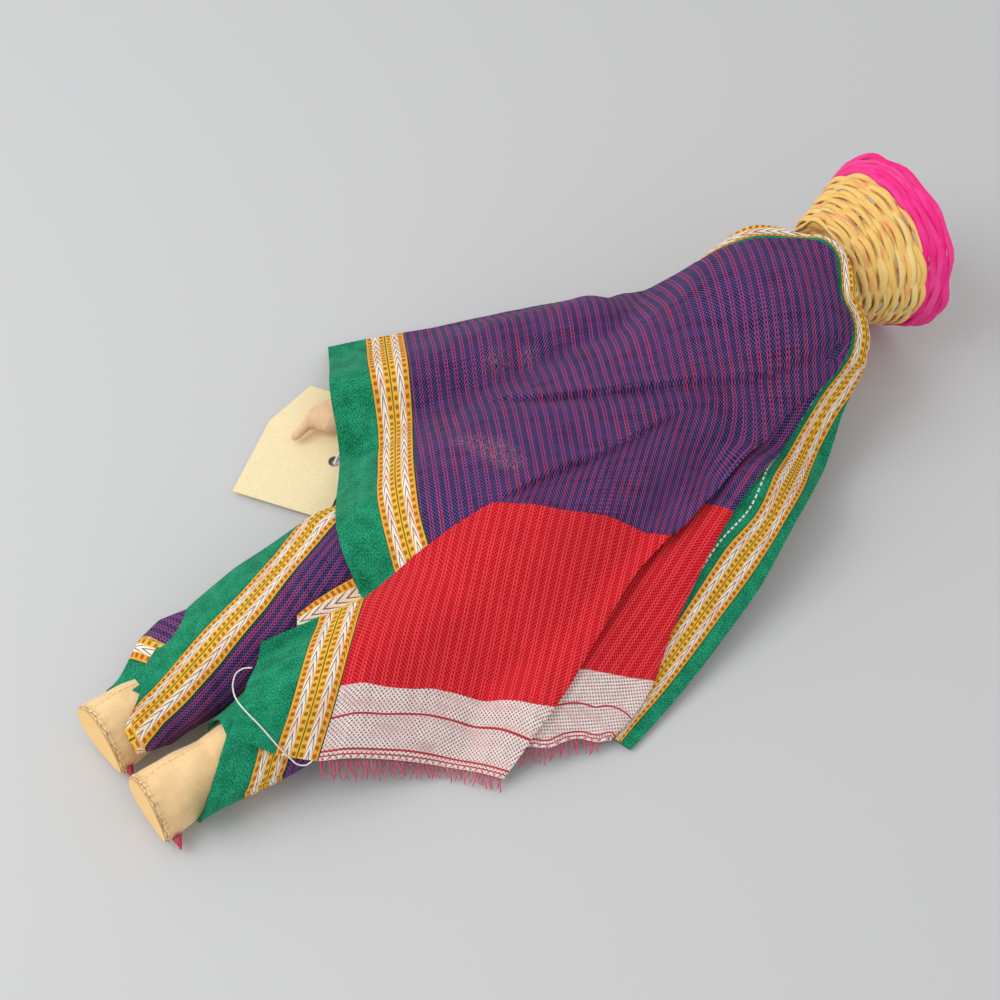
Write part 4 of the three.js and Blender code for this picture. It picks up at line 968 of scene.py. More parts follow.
def foot(name, side):
    """Rings at share t from ankle to sole: blend of circle and egg by sin(t pi/2), with a welt at 0.97
    and soft pucker folds."""
    angle = np.linspace(-np.pi / 2, 1.5 * np.pi, 96, endpoint=False)[None, :]
    t = np.concatenate([np.linspace(0, 0.85, 22), np.linspace(0.86, 1.0, 15)])[:, None]
    x = FOOT_TOP_X + (FOOT_END_X - FOOT_TOP_X) * t
    middle_y, middle_z = leg_middle(np.maximum(x, -98.0), side)
    middle_z = middle_z - ANKLE_SINK
    swell = np.sin(np.clip((t - 0.3) / 0.7, 0, 1) * np.pi / 2)
    egg_y, egg_z = sole_ring(angle, SOLE_SCALE[side])
    welt = 0.3 * np.exp(-(((t - 0.97) / 0.02) ** 2))
    pucker = 0.16 * np.sin(23 * angle + 2 * np.sin(5 * angle)) * np.exp(-(((t - 0.95) / 0.05) ** 2))
    pucker = pucker + 0.2 * np.sin(3 * angle + 9 * t) + 0.14 * np.sin(5 * angle - 14 * t)
    grow = 1 + (welt + pucker) / 8.5
    y = middle_y + ((1 - swell) * ANKLE_RADIUS * np.cos(angle) + swell * egg_y) * grow
    z_ankle, z_sole = middle_z + ANKLE_RADIUS * np.sin(angle) * grow, SOLE_MIDDLE_Z + egg_z * grow
    z = (1 - swell) * z_ankle + swell * z_sole
    lean = swell * (egg_z * SOLE_LEAN - egg_y * SOLE_TURN[side])
    rings = side_by_side(x + lean, y, np.maximum(z, 0.2))
    points, faces = closed_rings(rings)
    round_by, from_sole = np.broadcast_arrays(np.degrees(angle) - 90.0, (1 - t) * (FOOT_TOP_X - FOOT_END_X))
    seam = np.concatenate([np.column_stack([round_by.ravel(), from_sole.ravel()]), [(0, 30), (0, 0)]])
    return outward(make_piece(name, points, faces, {"seam": seam}))


def sole(name, side):
    """Rings of the egg at growing scale, rounded over at the rim and dished by 0.25 mm in the middle."""
    angle = np.linspace(0, 2 * np.pi, 96, endpoint=False)[None, :]
    scale = np.concatenate([np.linspace(0.15, 0.93, 9), [0.965, 0.985, 0.985, 0.96]])[:, None]
    depth = np.concatenate([0.25 * (1 - np.linspace(0.15, 0.93, 9) ** 2), [0.04, 0.18, 0.45, 0.8]])[:, None]
    egg_y, egg_z = sole_ring(angle, scale * SOLE_SCALE[side])
    x = FOOT_END_X - 0.3 + depth + egg_z * SOLE_LEAN - egg_y * SOLE_TURN[side]
    rings = side_by_side(x, side * LEG_Y[1] + egg_y, SOLE_MIDDLE_Z + egg_z)
    points, faces = closed_rings(rings)
    rim = np.column_stack([np.broadcast_to(scale, x.shape).ravel(), np.zeros(x.size)])
    return outward(make_piece(name, points, faces, {"rim": np.concatenate([rim, [(0, 0), (1, 0)]])}))


def toe_point(name, side):
    """A crumpled point of cloth: its radius falls evenly to the tip, with folds of four and seven waves
    round."""
    angle = np.linspace(0, 2 * np.pi, 42, endpoint=False)[None, :]
    t = np.linspace(0, 1, 16)[:, None]
    radius = 2.0 * (1 - t * 0.8) * (1 + 0.16 * np.sin(4 * angle + 5 * t) + 0.1 * np.sin(7 * angle - 4 * t))
    toe = np.array([0, np.cos(SOLE_ROLL), np.sin(SOLE_ROLL)])
    flat = np.array([0, -np.sin(SOLE_ROLL), np.cos(SOLE_ROLL)])
    start = np.array([FOOT_END_X + 2.4, side * LEG_Y[1], SOLE_MIDDLE_Z]) + toe * (SOLE_LONG / 2 - 0.6)
    rings = start + toe * (t * 3.2)[..., None] + flat * (radius * np.cos(angle) + 0.5 * t)[..., None]
    rings = rings + np.array([1.0, 0, 0]) * (0.55 * radius * np.sin(angle) - 0.8 * t)[..., None]
    rings[..., 2] = np.maximum(rings[..., 2], 0.2)
    return outward(make_piece(name, *closed_rings(rings)))


# columns: middle x, y, z, half width and half thickness, from the wrist to the fingertip
HAND_STATIONS = [
    (-9, 54.6, 8.6, 5.4, 4.6), (-13.7, 56.8, 8, 5.4, 4.5), (-16.5, 58.2, 7.4, 5.0, 4.2),
    (-19.2, 60, 6.8, 4.2, 3.6),
    (-21.4, 60.9, 6.2, 2.9, 2.8), (-23.4, 61, 5.6, 1.7, 1.7), (-25.6, 60.7, 5, 1.3, 1.3),
    (-27.4, 60.5, 4.4, 1.2, 1.1),
    (-28.8, 60.6, 4, 0.8, 0.7),
]


def stuffed_hand(name, stations):
    """Rings along the hand's middle line: sideways w cos a, upwards h sin a, with a crease between thumb
    and palm."""
    line = smooth_line(stations, 44, kept=3)
    angle = np.linspace(0, 2 * np.pi, 40, endpoint=False)[None, :]
    step = np.gradient(line[:, :2], axis=0)
    sideways = np.column_stack([-step[:, 1], step[:, 0]]) / np.linalg.norm(step, axis=1, keepdims=True)
    wide, high = line[:, 3:4], line[:, 4:5]
    crease = 1 - 0.14 * np.exp(-(((angle - 2.0) / 0.3) ** 2)) * smoothstep(1.5, 4.0, wide)
    plan = line[:, None, :2] + sideways[:, None] * (wide * np.cos(angle) * crease)[..., None]
    rings = np.concatenate([plan, (line[:, 2:3] + high * np.sin(angle) * crease)[..., None]], axis=-1)
    return outward(make_piece(name, *closed_rings(rings)))


left_stuffed_hand = stuffed_hand("left_stuffed_hand", HAND_STATIONS)
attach(left_stuffed_hand, "left_arm")
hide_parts("left_hand")

feet, soles, toes = {}, {}, {}
for leg, side in (("left", 1), ("right", -1)):
    feet[leg] = foot(f"{leg}_muslin_foot", side)
    soles[leg] = sole(f"{leg}_sole_plate", side)
    toes[leg] = toe_point(f"{leg}_red_toe", side)
    for piece, node, slot_name in (
        (feet[leg], "foot", "muslin"), (soles[leg], "sole", "sole"), (toes[leg], "toe_point", "toe")
    ):
        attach(piece, f"{leg}_leg")
        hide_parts(f"{leg}_{node}")
print("hand, feet, soles and toe points made")

# %% [markdown]
# Under the sari is a stuffed body: trunk, head, arms and legs, each its own cotton skin that was filled
# and sewn on. They could be plain tubes, but filled cloth is never even, so every ring swells and sinks a
# little round its middle line.

# %% Stuffed body
ARM_LONG = 72.0
SHOULDERS = {"left": np.array([51.0, 31.4, 15.0]), "right": np.array([51.0, -31.4, 15.0])}
ARM_TURN = {"left": np.radians([24.0, 6.0]), "right": np.radians([-6.0, 8.0])}
ARM_RADII = np.array([(0, 7.5), (36, 5.8), (47, 5.6), (72, 4.4)]).T
LEG_LONG = 84.0
LEG_RADII = np.array([(0, 11.0), (38, 8.6), (52, 9.2), (84, 6.4)]).T
TRUNK = np.array([
    (-6.4, 12, 7, 16.5), (-5, 19, 11, 16.5), (-2, 23, 14, 16.5), (6, 25, 15, 16.5), (24, 18, 12, 16.5),
    (40, 21, 14, 16.5), (51, 24, 10, 16.6), (56, 16, 9, 17), (60, 7.8, 7.6, 17.4), (68.6, 7.5, 7.5, 18),
])
HEAD_MIDDLE, HEAD_RADIUS = np.array([87.0, 2.0, 23.0]), 21.3
ARM_WAYS = {
    arm: np.array([-np.cos(droop) * np.cos(out), np.cos(droop) * np.sin(out), -np.sin(droop)])
    for arm, (out, droop) in ARM_TURN.items()
}
LEG_ENDS = {
    leg: np.column_stack([LEG_X, side * LEG_Y, LEG_Z]) for leg, side in (("left", 1), ("right", -1))
}


def uneven(angle, along):
    """Slow swells of a hand-filled skin: two sines that turn as they go along."""
    return 1 + 0.014 * np.sin(3 * angle + 0.21 * along) + 0.01 * np.sin(5 * angle - 0.33 * along + 1.0)


def limb(name, start, way, long, radii):
    """Circles from a round top at the joint down the limb: r = sqrt(R^2 - d^2) above the joint, then the
    given radii."""
    top = radii[1][0]
    d = np.concatenate([-top * np.cos(np.linspace(0.15, np.pi / 2, 10))[:-1], np.linspace(0, long, 50)])
    radius = np.where(d < 0, np.sqrt(np.maximum(top**2 - d**2, 0)), np.interp(d, *radii))
    angle = np.linspace(0, 2 * np.pi, 48, endpoint=False)[None, :]
    rings = rings_along(start + way * d[:, None], radius[:, None] * uneven(angle, d[:, None]), 48)
    return outward(make_piece(name, *closed_rings(rings)))


def trunk_ring(x, angle, grow=0.0):
    """Ellipse of the trunk's half width and half depth at x, both larger by `grow`."""
    stations = smooth_line(TRUNK, 200, kept=1)
    wide, deep, middle = (np.interp(x, stations[:, 0], stations[:, k]) for k in (1, 2, 3))
    swell = uneven(angle, x)
    y, z = (wide + grow) * np.cos(angle) * swell, middle + (deep + grow) * np.sin(angle) * swell
    return side_by_side(x, y, np.maximum(z, 0.4))


round_body = np.linspace(0, 2 * np.pi, 64, endpoint=False)[None, :]
stuffed_trunk = outward(make_piece(
    "stuffed_trunk", *closed_rings(trunk_ring(np.linspace(-6.4, 68.6, 90)[:, None], round_body))
))
arms = {
    arm: limb(f"{arm}_stuffed_arm", SHOULDERS[arm], ARM_WAYS[arm], ARM_LONG, ARM_RADII) for arm in SHOULDERS
}
legs = {
    leg: limb(f"{leg}_stuffed_leg", hip, (ankle - hip) / LEG_LONG, LEG_LONG, LEG_RADII)
    for leg, (hip, ankle) in LEG_ENDS.items()
}
RIGHT_HAND = [
    (63, 4.9, 4.4), (68, 5.2, 4.3), (72, 4.9, 4.0), (75, 4.1, 3.4), (77.5, 2.9, 2.7), (79.5, 1.7, 1.7),
    (81.5, 0.9, 0.9),
]
right_stuffed_hand = stuffed_hand(
    "right_stuffed_hand",
    [(*(SHOULDERS["right"] + ARM_WAYS["right"] * d), wide, deep) for d, wide, deep in RIGHT_HAND],
)


# direction, rise as a share of the radius, and reach, of the nose and the cheeks
FACE_BUMPS = (
    ((0.0, 0.0, -1.0), 0.05, 0.09), ((-0.28, 0.36, -0.9), 0.02, 0.25), ((-0.28, -0.36, -0.9), 0.02, 0.25)
)


def head_ball(name):
    """A ball of radius R (1 + bumps): a small nose that points down, and two softer cheeks beside it."""
    across_face = np.linspace(0.02, np.pi - 0.02, 60)[:, None]
    angle = np.linspace(0, 2 * np.pi, 80, endpoint=False)[None, :]
    ring = np.sin(across_face)
    x, y, z = np.broadcast_arrays(np.cos(across_face), ring * np.cos(angle), ring * np.sin(angle))
    ball = side_by_side(x, y, z)
    swell = uneven(angle, 20 * across_face)
    for spot, rise, reach in FACE_BUMPS:
        off = np.linalg.norm(ball - np.array(spot) / np.linalg.norm(spot), axis=-1)
        swell = swell + rise * np.exp(-((off / reach) ** 2))
    rings = HEAD_MIDDLE + HEAD_RADIUS * ball * swell[..., None]
    rings[..., 2] = np.maximum(rings[..., 2], 0.3)
    points, faces = closed_rings(rings)
    face = np.concatenate([np.column_stack([y.ravel(), np.where(z < 0, x, 9.0).ravel()]), [(9, 9), (9, 9)]])
    return outward(make_piece(name, points, faces, {"face": face}))


def yarn_cap(name):
    """Shell over the back of the head: outer radius with a ridge for each strand of yarn, turned in at
    its edge."""
    turn = np.linspace(0, 2 * np.pi, 240, endpoint=False)[None, :]
    tilt = np.concatenate([np.linspace(0.03, 1.75, 40), np.linspace(1.78, 0.03, 30)])[:, None]
    outer = (np.arange(70) < 40)[:, None]
    ridge = 0.5 * np.abs(np.sin(30 * turn + 0.6 * np.sin(5 * tilt))) * smoothstep(0.05, 0.5, tilt)
    radius = np.where(outer, 22.7 + ridge, 21.9)
    x, y, z = np.sin(tilt) * np.cos(turn), np.sin(tilt) * np.sin(turn), np.cos(tilt) + 0 * turn
    rings = HEAD_MIDDLE + radius[..., None] * side_by_side(x, y, z)
    return outward(make_piece(name, *closed_rings(rings)))


stuffed_head, hair_cap = head_ball("stuffed_head"), yarn_cap("hair_cap")
for piece, body, node, slot_name in (
    (stuffed_trunk, "torso", ("torso_skin", "torso_stuffing"), "muslin"),
    (stuffed_head, "head", ("head_skin", "head_stuffing"), "skin"),
    (arms["left"], "left_arm", ("left_arm", "left_arm_stuffing"), "skin"),
    (arms["right"], "right_arm", ("right_arm", "right_arm_stuffing"), "skin"),
    (right_stuffed_hand, "right_arm", ("right_hand",), "skin"),
    (legs["left"], "left_leg", ("left_leg", "left_leg_stuffing"), "muslin"),
    (legs["right"], "right_leg", ("right_leg", "right_leg_stuffing"), "muslin"),
):
    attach(piece, body)
    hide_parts(*node)
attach(hair_cap, "head")
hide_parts("hair")

# %% [markdown]
# The waist wrap, the blouse and its sleeves are cloth round that body. Each is a strip whose end laps
# over its start, so its radius grows by the cloth's thickness in one turn, as in a real wrap.

# %% Blouse and waist
LAP = np.linspace(-0.12, 2 * np.pi + 0.12, 72)[None, :]
LAP_RISE = 0.55 * (LAP - LAP.min()) / (LAP.max() - LAP.min())


def trunk_band(name, low_x, high_x, grow, fullness):
    """A lapped strip round the trunk, fuller in the middle of its width."""
    t = np.linspace(0, 1, 24)[:, None]
    x = low_x + (high_x - low_x) * t
    full = grow + fullness * np.sin(np.pi * t) * (1 + 0.25 * np.sin(9 * LAP)) + LAP_RISE
    maps = {"thread": side_by_side(x, LAP * 20.0)}
    return cloth_piece(name, trunk_ring(x, LAP, full), maps, thick=0.4)


def sleeve(name, arm):
    """A lapped strip round the arm, from 6 to 26 mm below the shoulder, pulled in at its lower edge."""
    d = np.linspace(6.0, 26.0, 20)
    middle = SHOULDERS[arm] + ARM_WAYS[arm] * d[:, None]
    full = 8.3 + 0.4 * np.sin((d[:, None] - 6) / 20 * np.pi) + 0.15 * np.sin(7 * LAP) + LAP_RISE
    level = np.cross(ARM_WAYS[arm], [0.0, 0.0, 1.0])
    level /= np.linalg.norm(level)
    spread = level * np.cos(LAP)[..., None] + np.cross(level, ARM_WAYS[arm]) * np.sin(LAP)[..., None]
    maps = {"thread": side_by_side(d[:, None], LAP * 8.0)}
    return cloth_piece(name, middle[:, None] + full[..., None] * spread, maps, thick=0.4)


BODY_CLOTH = []
for (piece, area), body, node, width, under in (
    (trunk_band("waist_wrap_cloth", -5.6, 23.6, 0.5, 0.6), "torso", "sari_waist", 40, "stuffed_trunk"),
    (trunk_band("blouse_cloth", 27.0, 55.6, 0.5, 0.5), "torso", "blouse", 40, "stuffed_trunk"),
    (sleeve("left_sleeve_cloth", "left"), "left_arm", "left_sleeve", 22, "left_stuffed_arm"),
    (sleeve("right_sleeve_cloth", "right"), "right_arm", "right_sleeve", 22, "right_stuffed_arm"),
):
    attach(piece, body)
    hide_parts(node)
    "sari" if node == "sari_waist" else "blouse"
    width * MM
    area / (width * MM)
    BODY_CLOTH.append(piece)

# %% [markdown]
# The basket is woven straw. Weavers go round in and out of twelve stakes, one row the other way round
# from the next, so a row is a closed strand whose radius waves six times per turn. The rim is the same
# with wide dyed straw that lies closer.

# %% Basket
BASKET_AXIS = np.array([0.9938, -0.0695, -0.0872])
BASKET_AXIS /= np.linalg.norm(BASKET_AXIS)
BASKET_FOOT = np.array([109.54, 4.63, 27.77])
BASE_RADIUS, RIM_RADIUS, BASKET_TALL = 14.6, 25.0, 24.0
STAKES = 12
basket_up = np.array([0.0, 0.0, 1.0]) - BASKET_AXIS[2] * BASKET_AXIS
basket_up /= np.linalg.norm(basket_up)
basket_side = np.cross(basket_up, BASKET_AXIS)


def on_basket(radius, angle, height):
    """Point at this radius and angle round the basket's axis, at this height above its foot."""
    rim = np.cos(angle)[..., None] * basket_side + np.sin(angle)[..., None] * basket_up
    return BASKET_FOOT + radius[..., None] * rim + height[..., None] * BASKET_AXIS


STRAND_GAP = 10.0


def weavers(heights, thick, tall, wave, radius_at, seed, drift=0.3, around=216, sides=8):
    """Strand j, angle a, section angle b: radius = R(h) + wave cos(6 a + j pi) + thick cos b, height =
    h_j + tall sin b.

    Each strand's height, thickness and wave drift slowly round the basket by a few seeded sines."""
    rng = np.random.default_rng(seed)
    j = np.arange(len(heights))[:, None, None]
    a = np.linspace(0, 2 * np.pi, around, endpoint=False)[None, :, None]
    b = np.linspace(-np.pi, np.pi, sides, endpoint=False)[None, None, :]
    phase = rng.uniform(0, 2 * np.pi, (len(heights), 5))[:, :, None, None]
    sway = np.sin(2 * a + phase[:, 0]) + 0.7 * np.sin(5 * a + phase[:, 1])
    sway = sway + 0.4 * np.sin(11 * a + phase[:, 2])
    fat = 1 + 0.22 * np.sin(3 * a + phase[:, 3]) + 0.12 * np.sin(13 * a + phase[:, 4])
    height = np.asarray(heights)[:, None, None] + drift * sway / 1.5 + tall * fat * np.sin(b)
    radius = radius_at(height) + wave * np.cos(STAKES / 2 * a + np.pi * j)
    radius = radius + thick * fat * np.cos(b) + 0.12 * sway
    grid = on_basket(radius, a + 0 * b + 0 * j, height)
    along = np.broadcast_to(a * 20.0 + 37.0 * j, height.shape)
    across = np.broadcast_to(b + STRAND_GAP * (j + 0.5), height.shape)
    ring_faces = grid_faces(around, sides, wrap_rows=True, wrap_columns=True)
    faces = (ring_faces[None] + (np.arange(len(heights)) * around * sides)[:, None, None]).reshape(-1, 4)
    return grid.reshape(-1, 3), faces, {"strand": side_by_side(along, across).reshape(-1, 2)}


def pair_of(first, second):
    """Two sets of strands as one mesh."""
    points, faces, maps = stack([first, second])
    return points, np.array(faces), maps


def wall_radius(height):
    """Straight flare from foot to rim."""
    return BASE_RADIUS + (RIM_RADIUS - BASE_RADIUS) * height / BASKET_TALL


straw_rows = np.linspace(0.7, 16.4, 14)
rim_rows = np.linspace(18.0, 22.8, 5)
wall = [
    weavers(rows_, 0.4, 0.7, wave, lambda h: wall_radius(h) - 0.8, seed, drift=0.26, sides=10)
    for rows_, wave, seed in ((straw_rows, 0.6, 11), (straw_rows + 0.61, -0.6, 12))
]
basket_weave = outward(make_piece("basket_weave", *pair_of(*wall)))
rim = [
    weavers(rows_, 0.55, 0.85, wave, lambda h: wall_radius(h) - 0.45, seed, drift=0.6, around=60, sides=8)
    for rows_, wave, seed in ((rim_rows, 0.4, 23), (rim_rows + 0.6, -0.4, 24))
]
basket_pink_rim = outward(make_piece("basket_pink_rim", *pair_of(*rim), smooth=False))


def basket_ribs():
    """Stakes: flat strips from the hub out over the base and up inside the weave, a flat oval in section."""
    t = np.linspace(0, 1, 40)[None, :, None]
    b = np.linspace(0, 2 * np.pi, 8, endpoint=False)[None, None, :]
    turn = (np.arange(STAKES) * 2 * np.pi / STAKES)[:, None, None]
    lift = np.clip((t - 0.4) / 0.6, 0, 1) * (BASKET_TALL - 1.0)
    reach = np.minimum(t / 0.4, 1) * (BASE_RADIUS - 1.2) + lift * (RIM_RADIUS - BASE_RADIUS) / BASKET_TALL
    bent = smoothstep(0.32, 0.46, t) * np.pi / 2
    out_by, up_by = -0.28 * np.cos(b) * np.sin(bent), 0.28 * np.cos(b) * np.cos(bent)
    radius = np.maximum(reach + out_by, 0.3)
    grid = on_basket(radius, turn + 0.9 * np.sin(b) / np.maximum(radius, 3.0), lift + 1.5 + up_by)
    faces = grid_faces(40, 8, wrap_columns=True)
    ends = np.arange(8)
    caps = [ends[::-1] + k for k in (0, 39 * 8)]
    strand_maps = side_by_side(t * 40 + turn * 9, b).reshape(STAKES, -1, 2)
    return stack([
        (points.reshape(-1, 3), list(faces) + caps, {"strand": strand_map})
        for points, strand_map in zip(grid, strand_maps)
    ])


def base_coils():
    """The base's weave: rings of growing radius that wave over and under the stakes."""
    radii = np.linspace(1.0, BASE_RADIUS - 1.6, 12)
    a = np.linspace(0, 2 * np.pi, 144, endpoint=False)[None, :, None]
    b = np.linspace(0, 2 * np.pi, 8, endpoint=False)[None, None, :]
    j = np.arange(len(radii))[:, None, None]
    radius = radii[:, None, None] + 0.72 * np.cos(b)
    height = 0.75 + 0.3 * np.cos(STAKES / 2 * a + np.pi * j) + 0.36 * np.sin(b)
    grid = on_basket(radius + 0 * a, a + 0 * b + 0 * j, height)
    ring = grid_faces(144, 8, wrap_rows=True, wrap_columns=True)
    faces = (ring[None] + j * 144 * 8).reshape(-1, 4)
    strand_map = side_by_side(a * radius + 31.0 * j, b + STRAND_GAP * (j + 0.5))
    return grid.reshape(-1, 3), faces, {"strand": strand_map.reshape(-1, 2)}


basket_ribs_straw = outward(make_piece("basket_ribs_straw", *basket_ribs()))
basket_base_weave = outward(make_piece("basket_base_weave", *base_coils()))
for piece, node, slot_name in (
    (basket_weave, "basket_wall", "straw"), (basket_pink_rim, "basket_rim", "pink_straw"),
    (basket_ribs_straw, "basket_stakes", "straw"), (basket_base_weave, "basket_base", "straw"),
):
    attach(piece, "head")
    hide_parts(node)
print("basket rows:", len(straw_rows), "straw,", len(rim_rows), "dyed")

# %% [markdown]
# ## Finishes
# Every finish is worked out by shader nodes from the coordinates that the pieces carry, so no picture is
# needed. Writing the nodes by hand would be long, so a small class lets ordinary arithmetic add them:
# adding two marks adds a Math node.

# %% Arithmetic with shader nodes


def feed(tree, socket, value):
    """Links a mark or a node's output to a socket, or writes a constant on it."""
    if isinstance(value, Mark):
        tree.links.new(value.socket, socket)
    elif isinstance(value, bpy.types.NodeSocket):
        tree.links.new(value, socket)
    else:
        socket.default_value = value


class Mark:
    """A number that changes over a surface. Sums, products and the calls below each add one node and give
    a new mark."""

    def __init__(self, tree, socket):
        self.tree = tree
        self.socket = socket

    def math(self, operation, *values):
        node = self.tree.nodes.new("ShaderNodeMath")
        node.operation = operation
        for socket, value in zip(node.inputs, (self, *values)):
            feed(self.tree, socket, value)
        return Mark(self.tree, node.outputs[0])

    def __add__(self, other):
        return self.math("ADD", other)

    def __sub__(self, other):
        return self.math("SUBTRACT", other)

    def __mul__(self, other):
        return self.math("MULTIPLY", other)

    def __truediv__(self, other):
        return self.math("DIVIDE", other)

    def wave(self):
        return self.math("SINE")

    def size(self):
        return self.math("ABSOLUTE")

    def repeat(self, pitch):
        """Distance since the last multiple of the pitch."""
        return self.math("FLOORED_MODULO", pitch)

    def rise(self, low, high):
        """0 at low, 1 at high, smooth between; falls instead where low is above high."""
        node = self.tree.nodes.new("ShaderNodeMapRange")
        node.interpolation_type = "SMOOTHSTEP"
        for socket, value in zip(node.inputs, (self, low, high, 0.0, 1.0)):
            feed(self.tree, socket, value)
        return Mark(self.tree, node.outputs[0])

    def line(self, at, width, soft=0.06):
        """1 on a line of this width, 0 beside it."""
        return (self - at).size().rise(width / 2 + soft, width / 2 - soft)

    def between(self, low, high, soft=0.08):
        """1 from low to high, 0 outside."""
        return self.line((low + high) / 2, high - low, soft)


def mix(tree, share, first, second):
    """Colour first where share is 0, second where it is 1."""
    node = tree.nodes.new("ShaderNodeMix")
    node.data_type = "RGBA"
    feed(tree, node.inputs[0], share)
    feed(tree, node.inputs[6], first)
    feed(tree, node.inputs[7], second)
    return node.outputs[2]


def noise(tree, vector, scale, detail=2.0, stretch=(1.0, 1.0, 1.0)):
    """Noise from about 0.2 to 0.8; `stretch` scales the coordinates first."""
    shaped = tree.nodes.new("ShaderNodeMapping")
    shaped.inputs["Scale"].default_value = stretch
    tree.links.new(vector, shaped.inputs["Vector"])
    node = tree.nodes.new("ShaderNodeTexNoise")
    node.inputs["Scale"].default_value = scale
    node.inputs["Detail"].default_value = detail
    tree.links.new(shaped.outputs[0], node.inputs["Vector"])
    return Mark(tree, node.outputs["Fac"])


def vector_of(tree, x, y):
    """Two marks as one vector."""
    node = tree.nodes.new("ShaderNodeCombineXYZ")
    feed(tree, node.inputs[0], x)
    feed(tree, node.inputs[1], y)
    return node.outputs[0]


def dye(red, green, blue):
    """A colour as seen on screen, 0 to 255, as the linear colour that a shader reads."""
    seen = np.array([red, green, blue]) / 255.0
    linear = np.where(seen <= 0.04045, seen / 12.92, ((seen + 0.055) / 1.055) ** 2.4)
    return (*linear.tolist(), 1.0)


def new_group(name, inputs, outputs):
    """A node group with these number or vector inputs; returns its tree, its inputs and its end node."""
    tree = bpy.data.node_groups.new(name, "ShaderNodeTree")
    for key, kind in inputs:
        tree.interface.new_socket(name=key, in_out="INPUT", socket_type=kind)
    for key, kind in outputs:
        tree.interface.new_socket(name=key, in_out="OUTPUT", socket_type=kind)
    start = tree.nodes.new("NodeGroupInput")
    end = tree.nodes.new("NodeGroupOutput")
    return tree, {key: start.outputs[key] for key, _ in inputs}, end.inputs


def use_group(tree, group, **values):
    """Places a group in a tree and feeds its inputs; returns its outputs."""
    node = tree.nodes.new("ShaderNodeGroup")
    node.node_tree = group
    for key, value in values.items():
        feed(tree, node.inputs[key], value)
    return node.outputs


NUMBER, VECTOR, COLOUR = "NodeSocketFloat", "NodeSocketVector", "NodeSocketColor"

# %% [markdown]
# All the doll's cloth is plain weave, so the first group is one: threads go over and under each other,
# which a product of two sines gives. It puts out a height for bumps and a shade that darkens the gaps,
# with uneven threads.

# %% Plain weave
weave_group, given, result = new_group(
    "plain_weave",
    [("Across", NUMBER), ("Along", NUMBER), ("Pitch", NUMBER)],
    [("Height", NUMBER), ("Shade", NUMBER)],
)
tree = weave_group
across, along, pitch = (Mark(tree, given[key]) for key in ("Across", "Along", "Pitch"))
spot = vector_of(tree, across, along)
slub = noise(tree, spot, 0.9, 2.0, (1.0, 0.12, 1.0)) + noise(tree, spot, 0.9, 2.0, (0.12, 1.0, 1.0))
over = (across / pitch * np.pi).wave() * (along / pitch * np.pi).wave()
feed(tree, result["Height"], over * 0.5 + slub * 0.6)
feed(tree, result["Shade"], over * 0.22 + slub * 0.55 + 0.22)

# %% [markdown]
# The ground of the sari changes along its length: purple with fine double pink stripes, then red with
# darker spotted ribs, then a white check with red lines, each at a set distance from the cut end. One
# group holds all three grounds.

# %% Handloom ground
PURPLE_BAND, PURPLE_NAVY, PURPLE_DARK = dye(98, 62, 126), dye(64, 56, 118), dye(10, 8, 30)
PINK_STRIPE, RED_STRIPE, PURPLE_PALE = dye(190, 68, 132), dye(226, 58, 92), dye(140, 110, 158)
RED, RED_BRIGHT, RED_DARK = dye(232, 30, 42), dye(255, 84, 90), dye(122, 0, 10)
WHITE, MAUVE, RED_LINE = dye(252, 236, 230), dye(124, 62, 70), dye(190, 34, 56)
STRIPE_PITCH, CHECK_PITCH, PURPLE_CHECK, WHITE_CHECK = 2.45, 0.85, 0.8, 1.0

ground_group, given, result = new_group(
    "handloom_ground",
    [("Across", NUMBER), ("Along", NUMBER), ("To Cut", NUMBER)],
    [("Color", COLOUR), ("Height", NUMBER)],
)
tree = ground_group
across, along, to_cut = (Mark(tree, given[key]) for key in ("Across", "Along", "To Cut"))
spot = vector_of(tree, across, along)


def check_of(pitch):
    """Threads over and under each other: the product of a wave across and a wave along."""
    return (across * (2 * np.pi / pitch)).wave() * (along * (2 * np.pi / pitch)).wave()


cloud = noise(tree, spot, 0.05, 2.0)
weft = noise(tree, spot, 0.5, 2.0, (0.2, 1.0, 1.0))
warp = noise(tree, spot, 0.6, 2.0, (1.0, 0.12, 1.0))
check = check_of(CHECK_PITCH)
stripe = across.repeat(STRIPE_PITCH)
pair = stripe.line(0.45, 0.24, 0.07) + stripe.line(1.15, 0.24, 0.07)
band = stripe.between(0.1, 1.5, 0.35) * 0.6 + cloud.rise(0.35, 0.65) * 0.4
purple = mix(tree, band, PURPLE_NAVY, PURPLE_BAND)
purple_check = check_of(PURPLE_CHECK)
specks = purple_check.rise(-0.3, 0.6) * 0.85 + weft.rise(0.45, 0.75) * 0.3
purple = mix(tree, purple_check.rise(-0.2, -0.9) * 0.6, purple, PURPLE_PALE)
purple = mix(tree, specks.math("MINIMUM", 1.0), purple, PURPLE_DARK)
beads = (along * (2 * np.pi / PURPLE_CHECK)).wave() * 0.25 + warp * 1.3 + weft * 0.5 - 0.25
redder = noise(tree, spot, 0.09, 3.0, (2.0, 1.0, 1.0)).rise(0.48, 0.66)
stripe_dye = mix(tree, redder, PINK_STRIPE, RED_STRIPE)
purple = mix(tree, (pair * beads).math("MINIMUM", 1.0), purple, stripe_dye)
red = mix(tree, check.rise(-0.1, 0.75) * 0.85, RED, RED_DARK)
red = mix(tree, check.rise(-0.2, -0.8) * 0.5, red, RED_BRIGHT)
red = mix(tree, pair * 0.85, red, RED_BRIGHT)
white_check = check_of(WHITE_CHECK)
white = mix(tree, white_check.rise(-0.1, 0.7) * (warp * 0.7 + 0.5), WHITE, MAUVE)
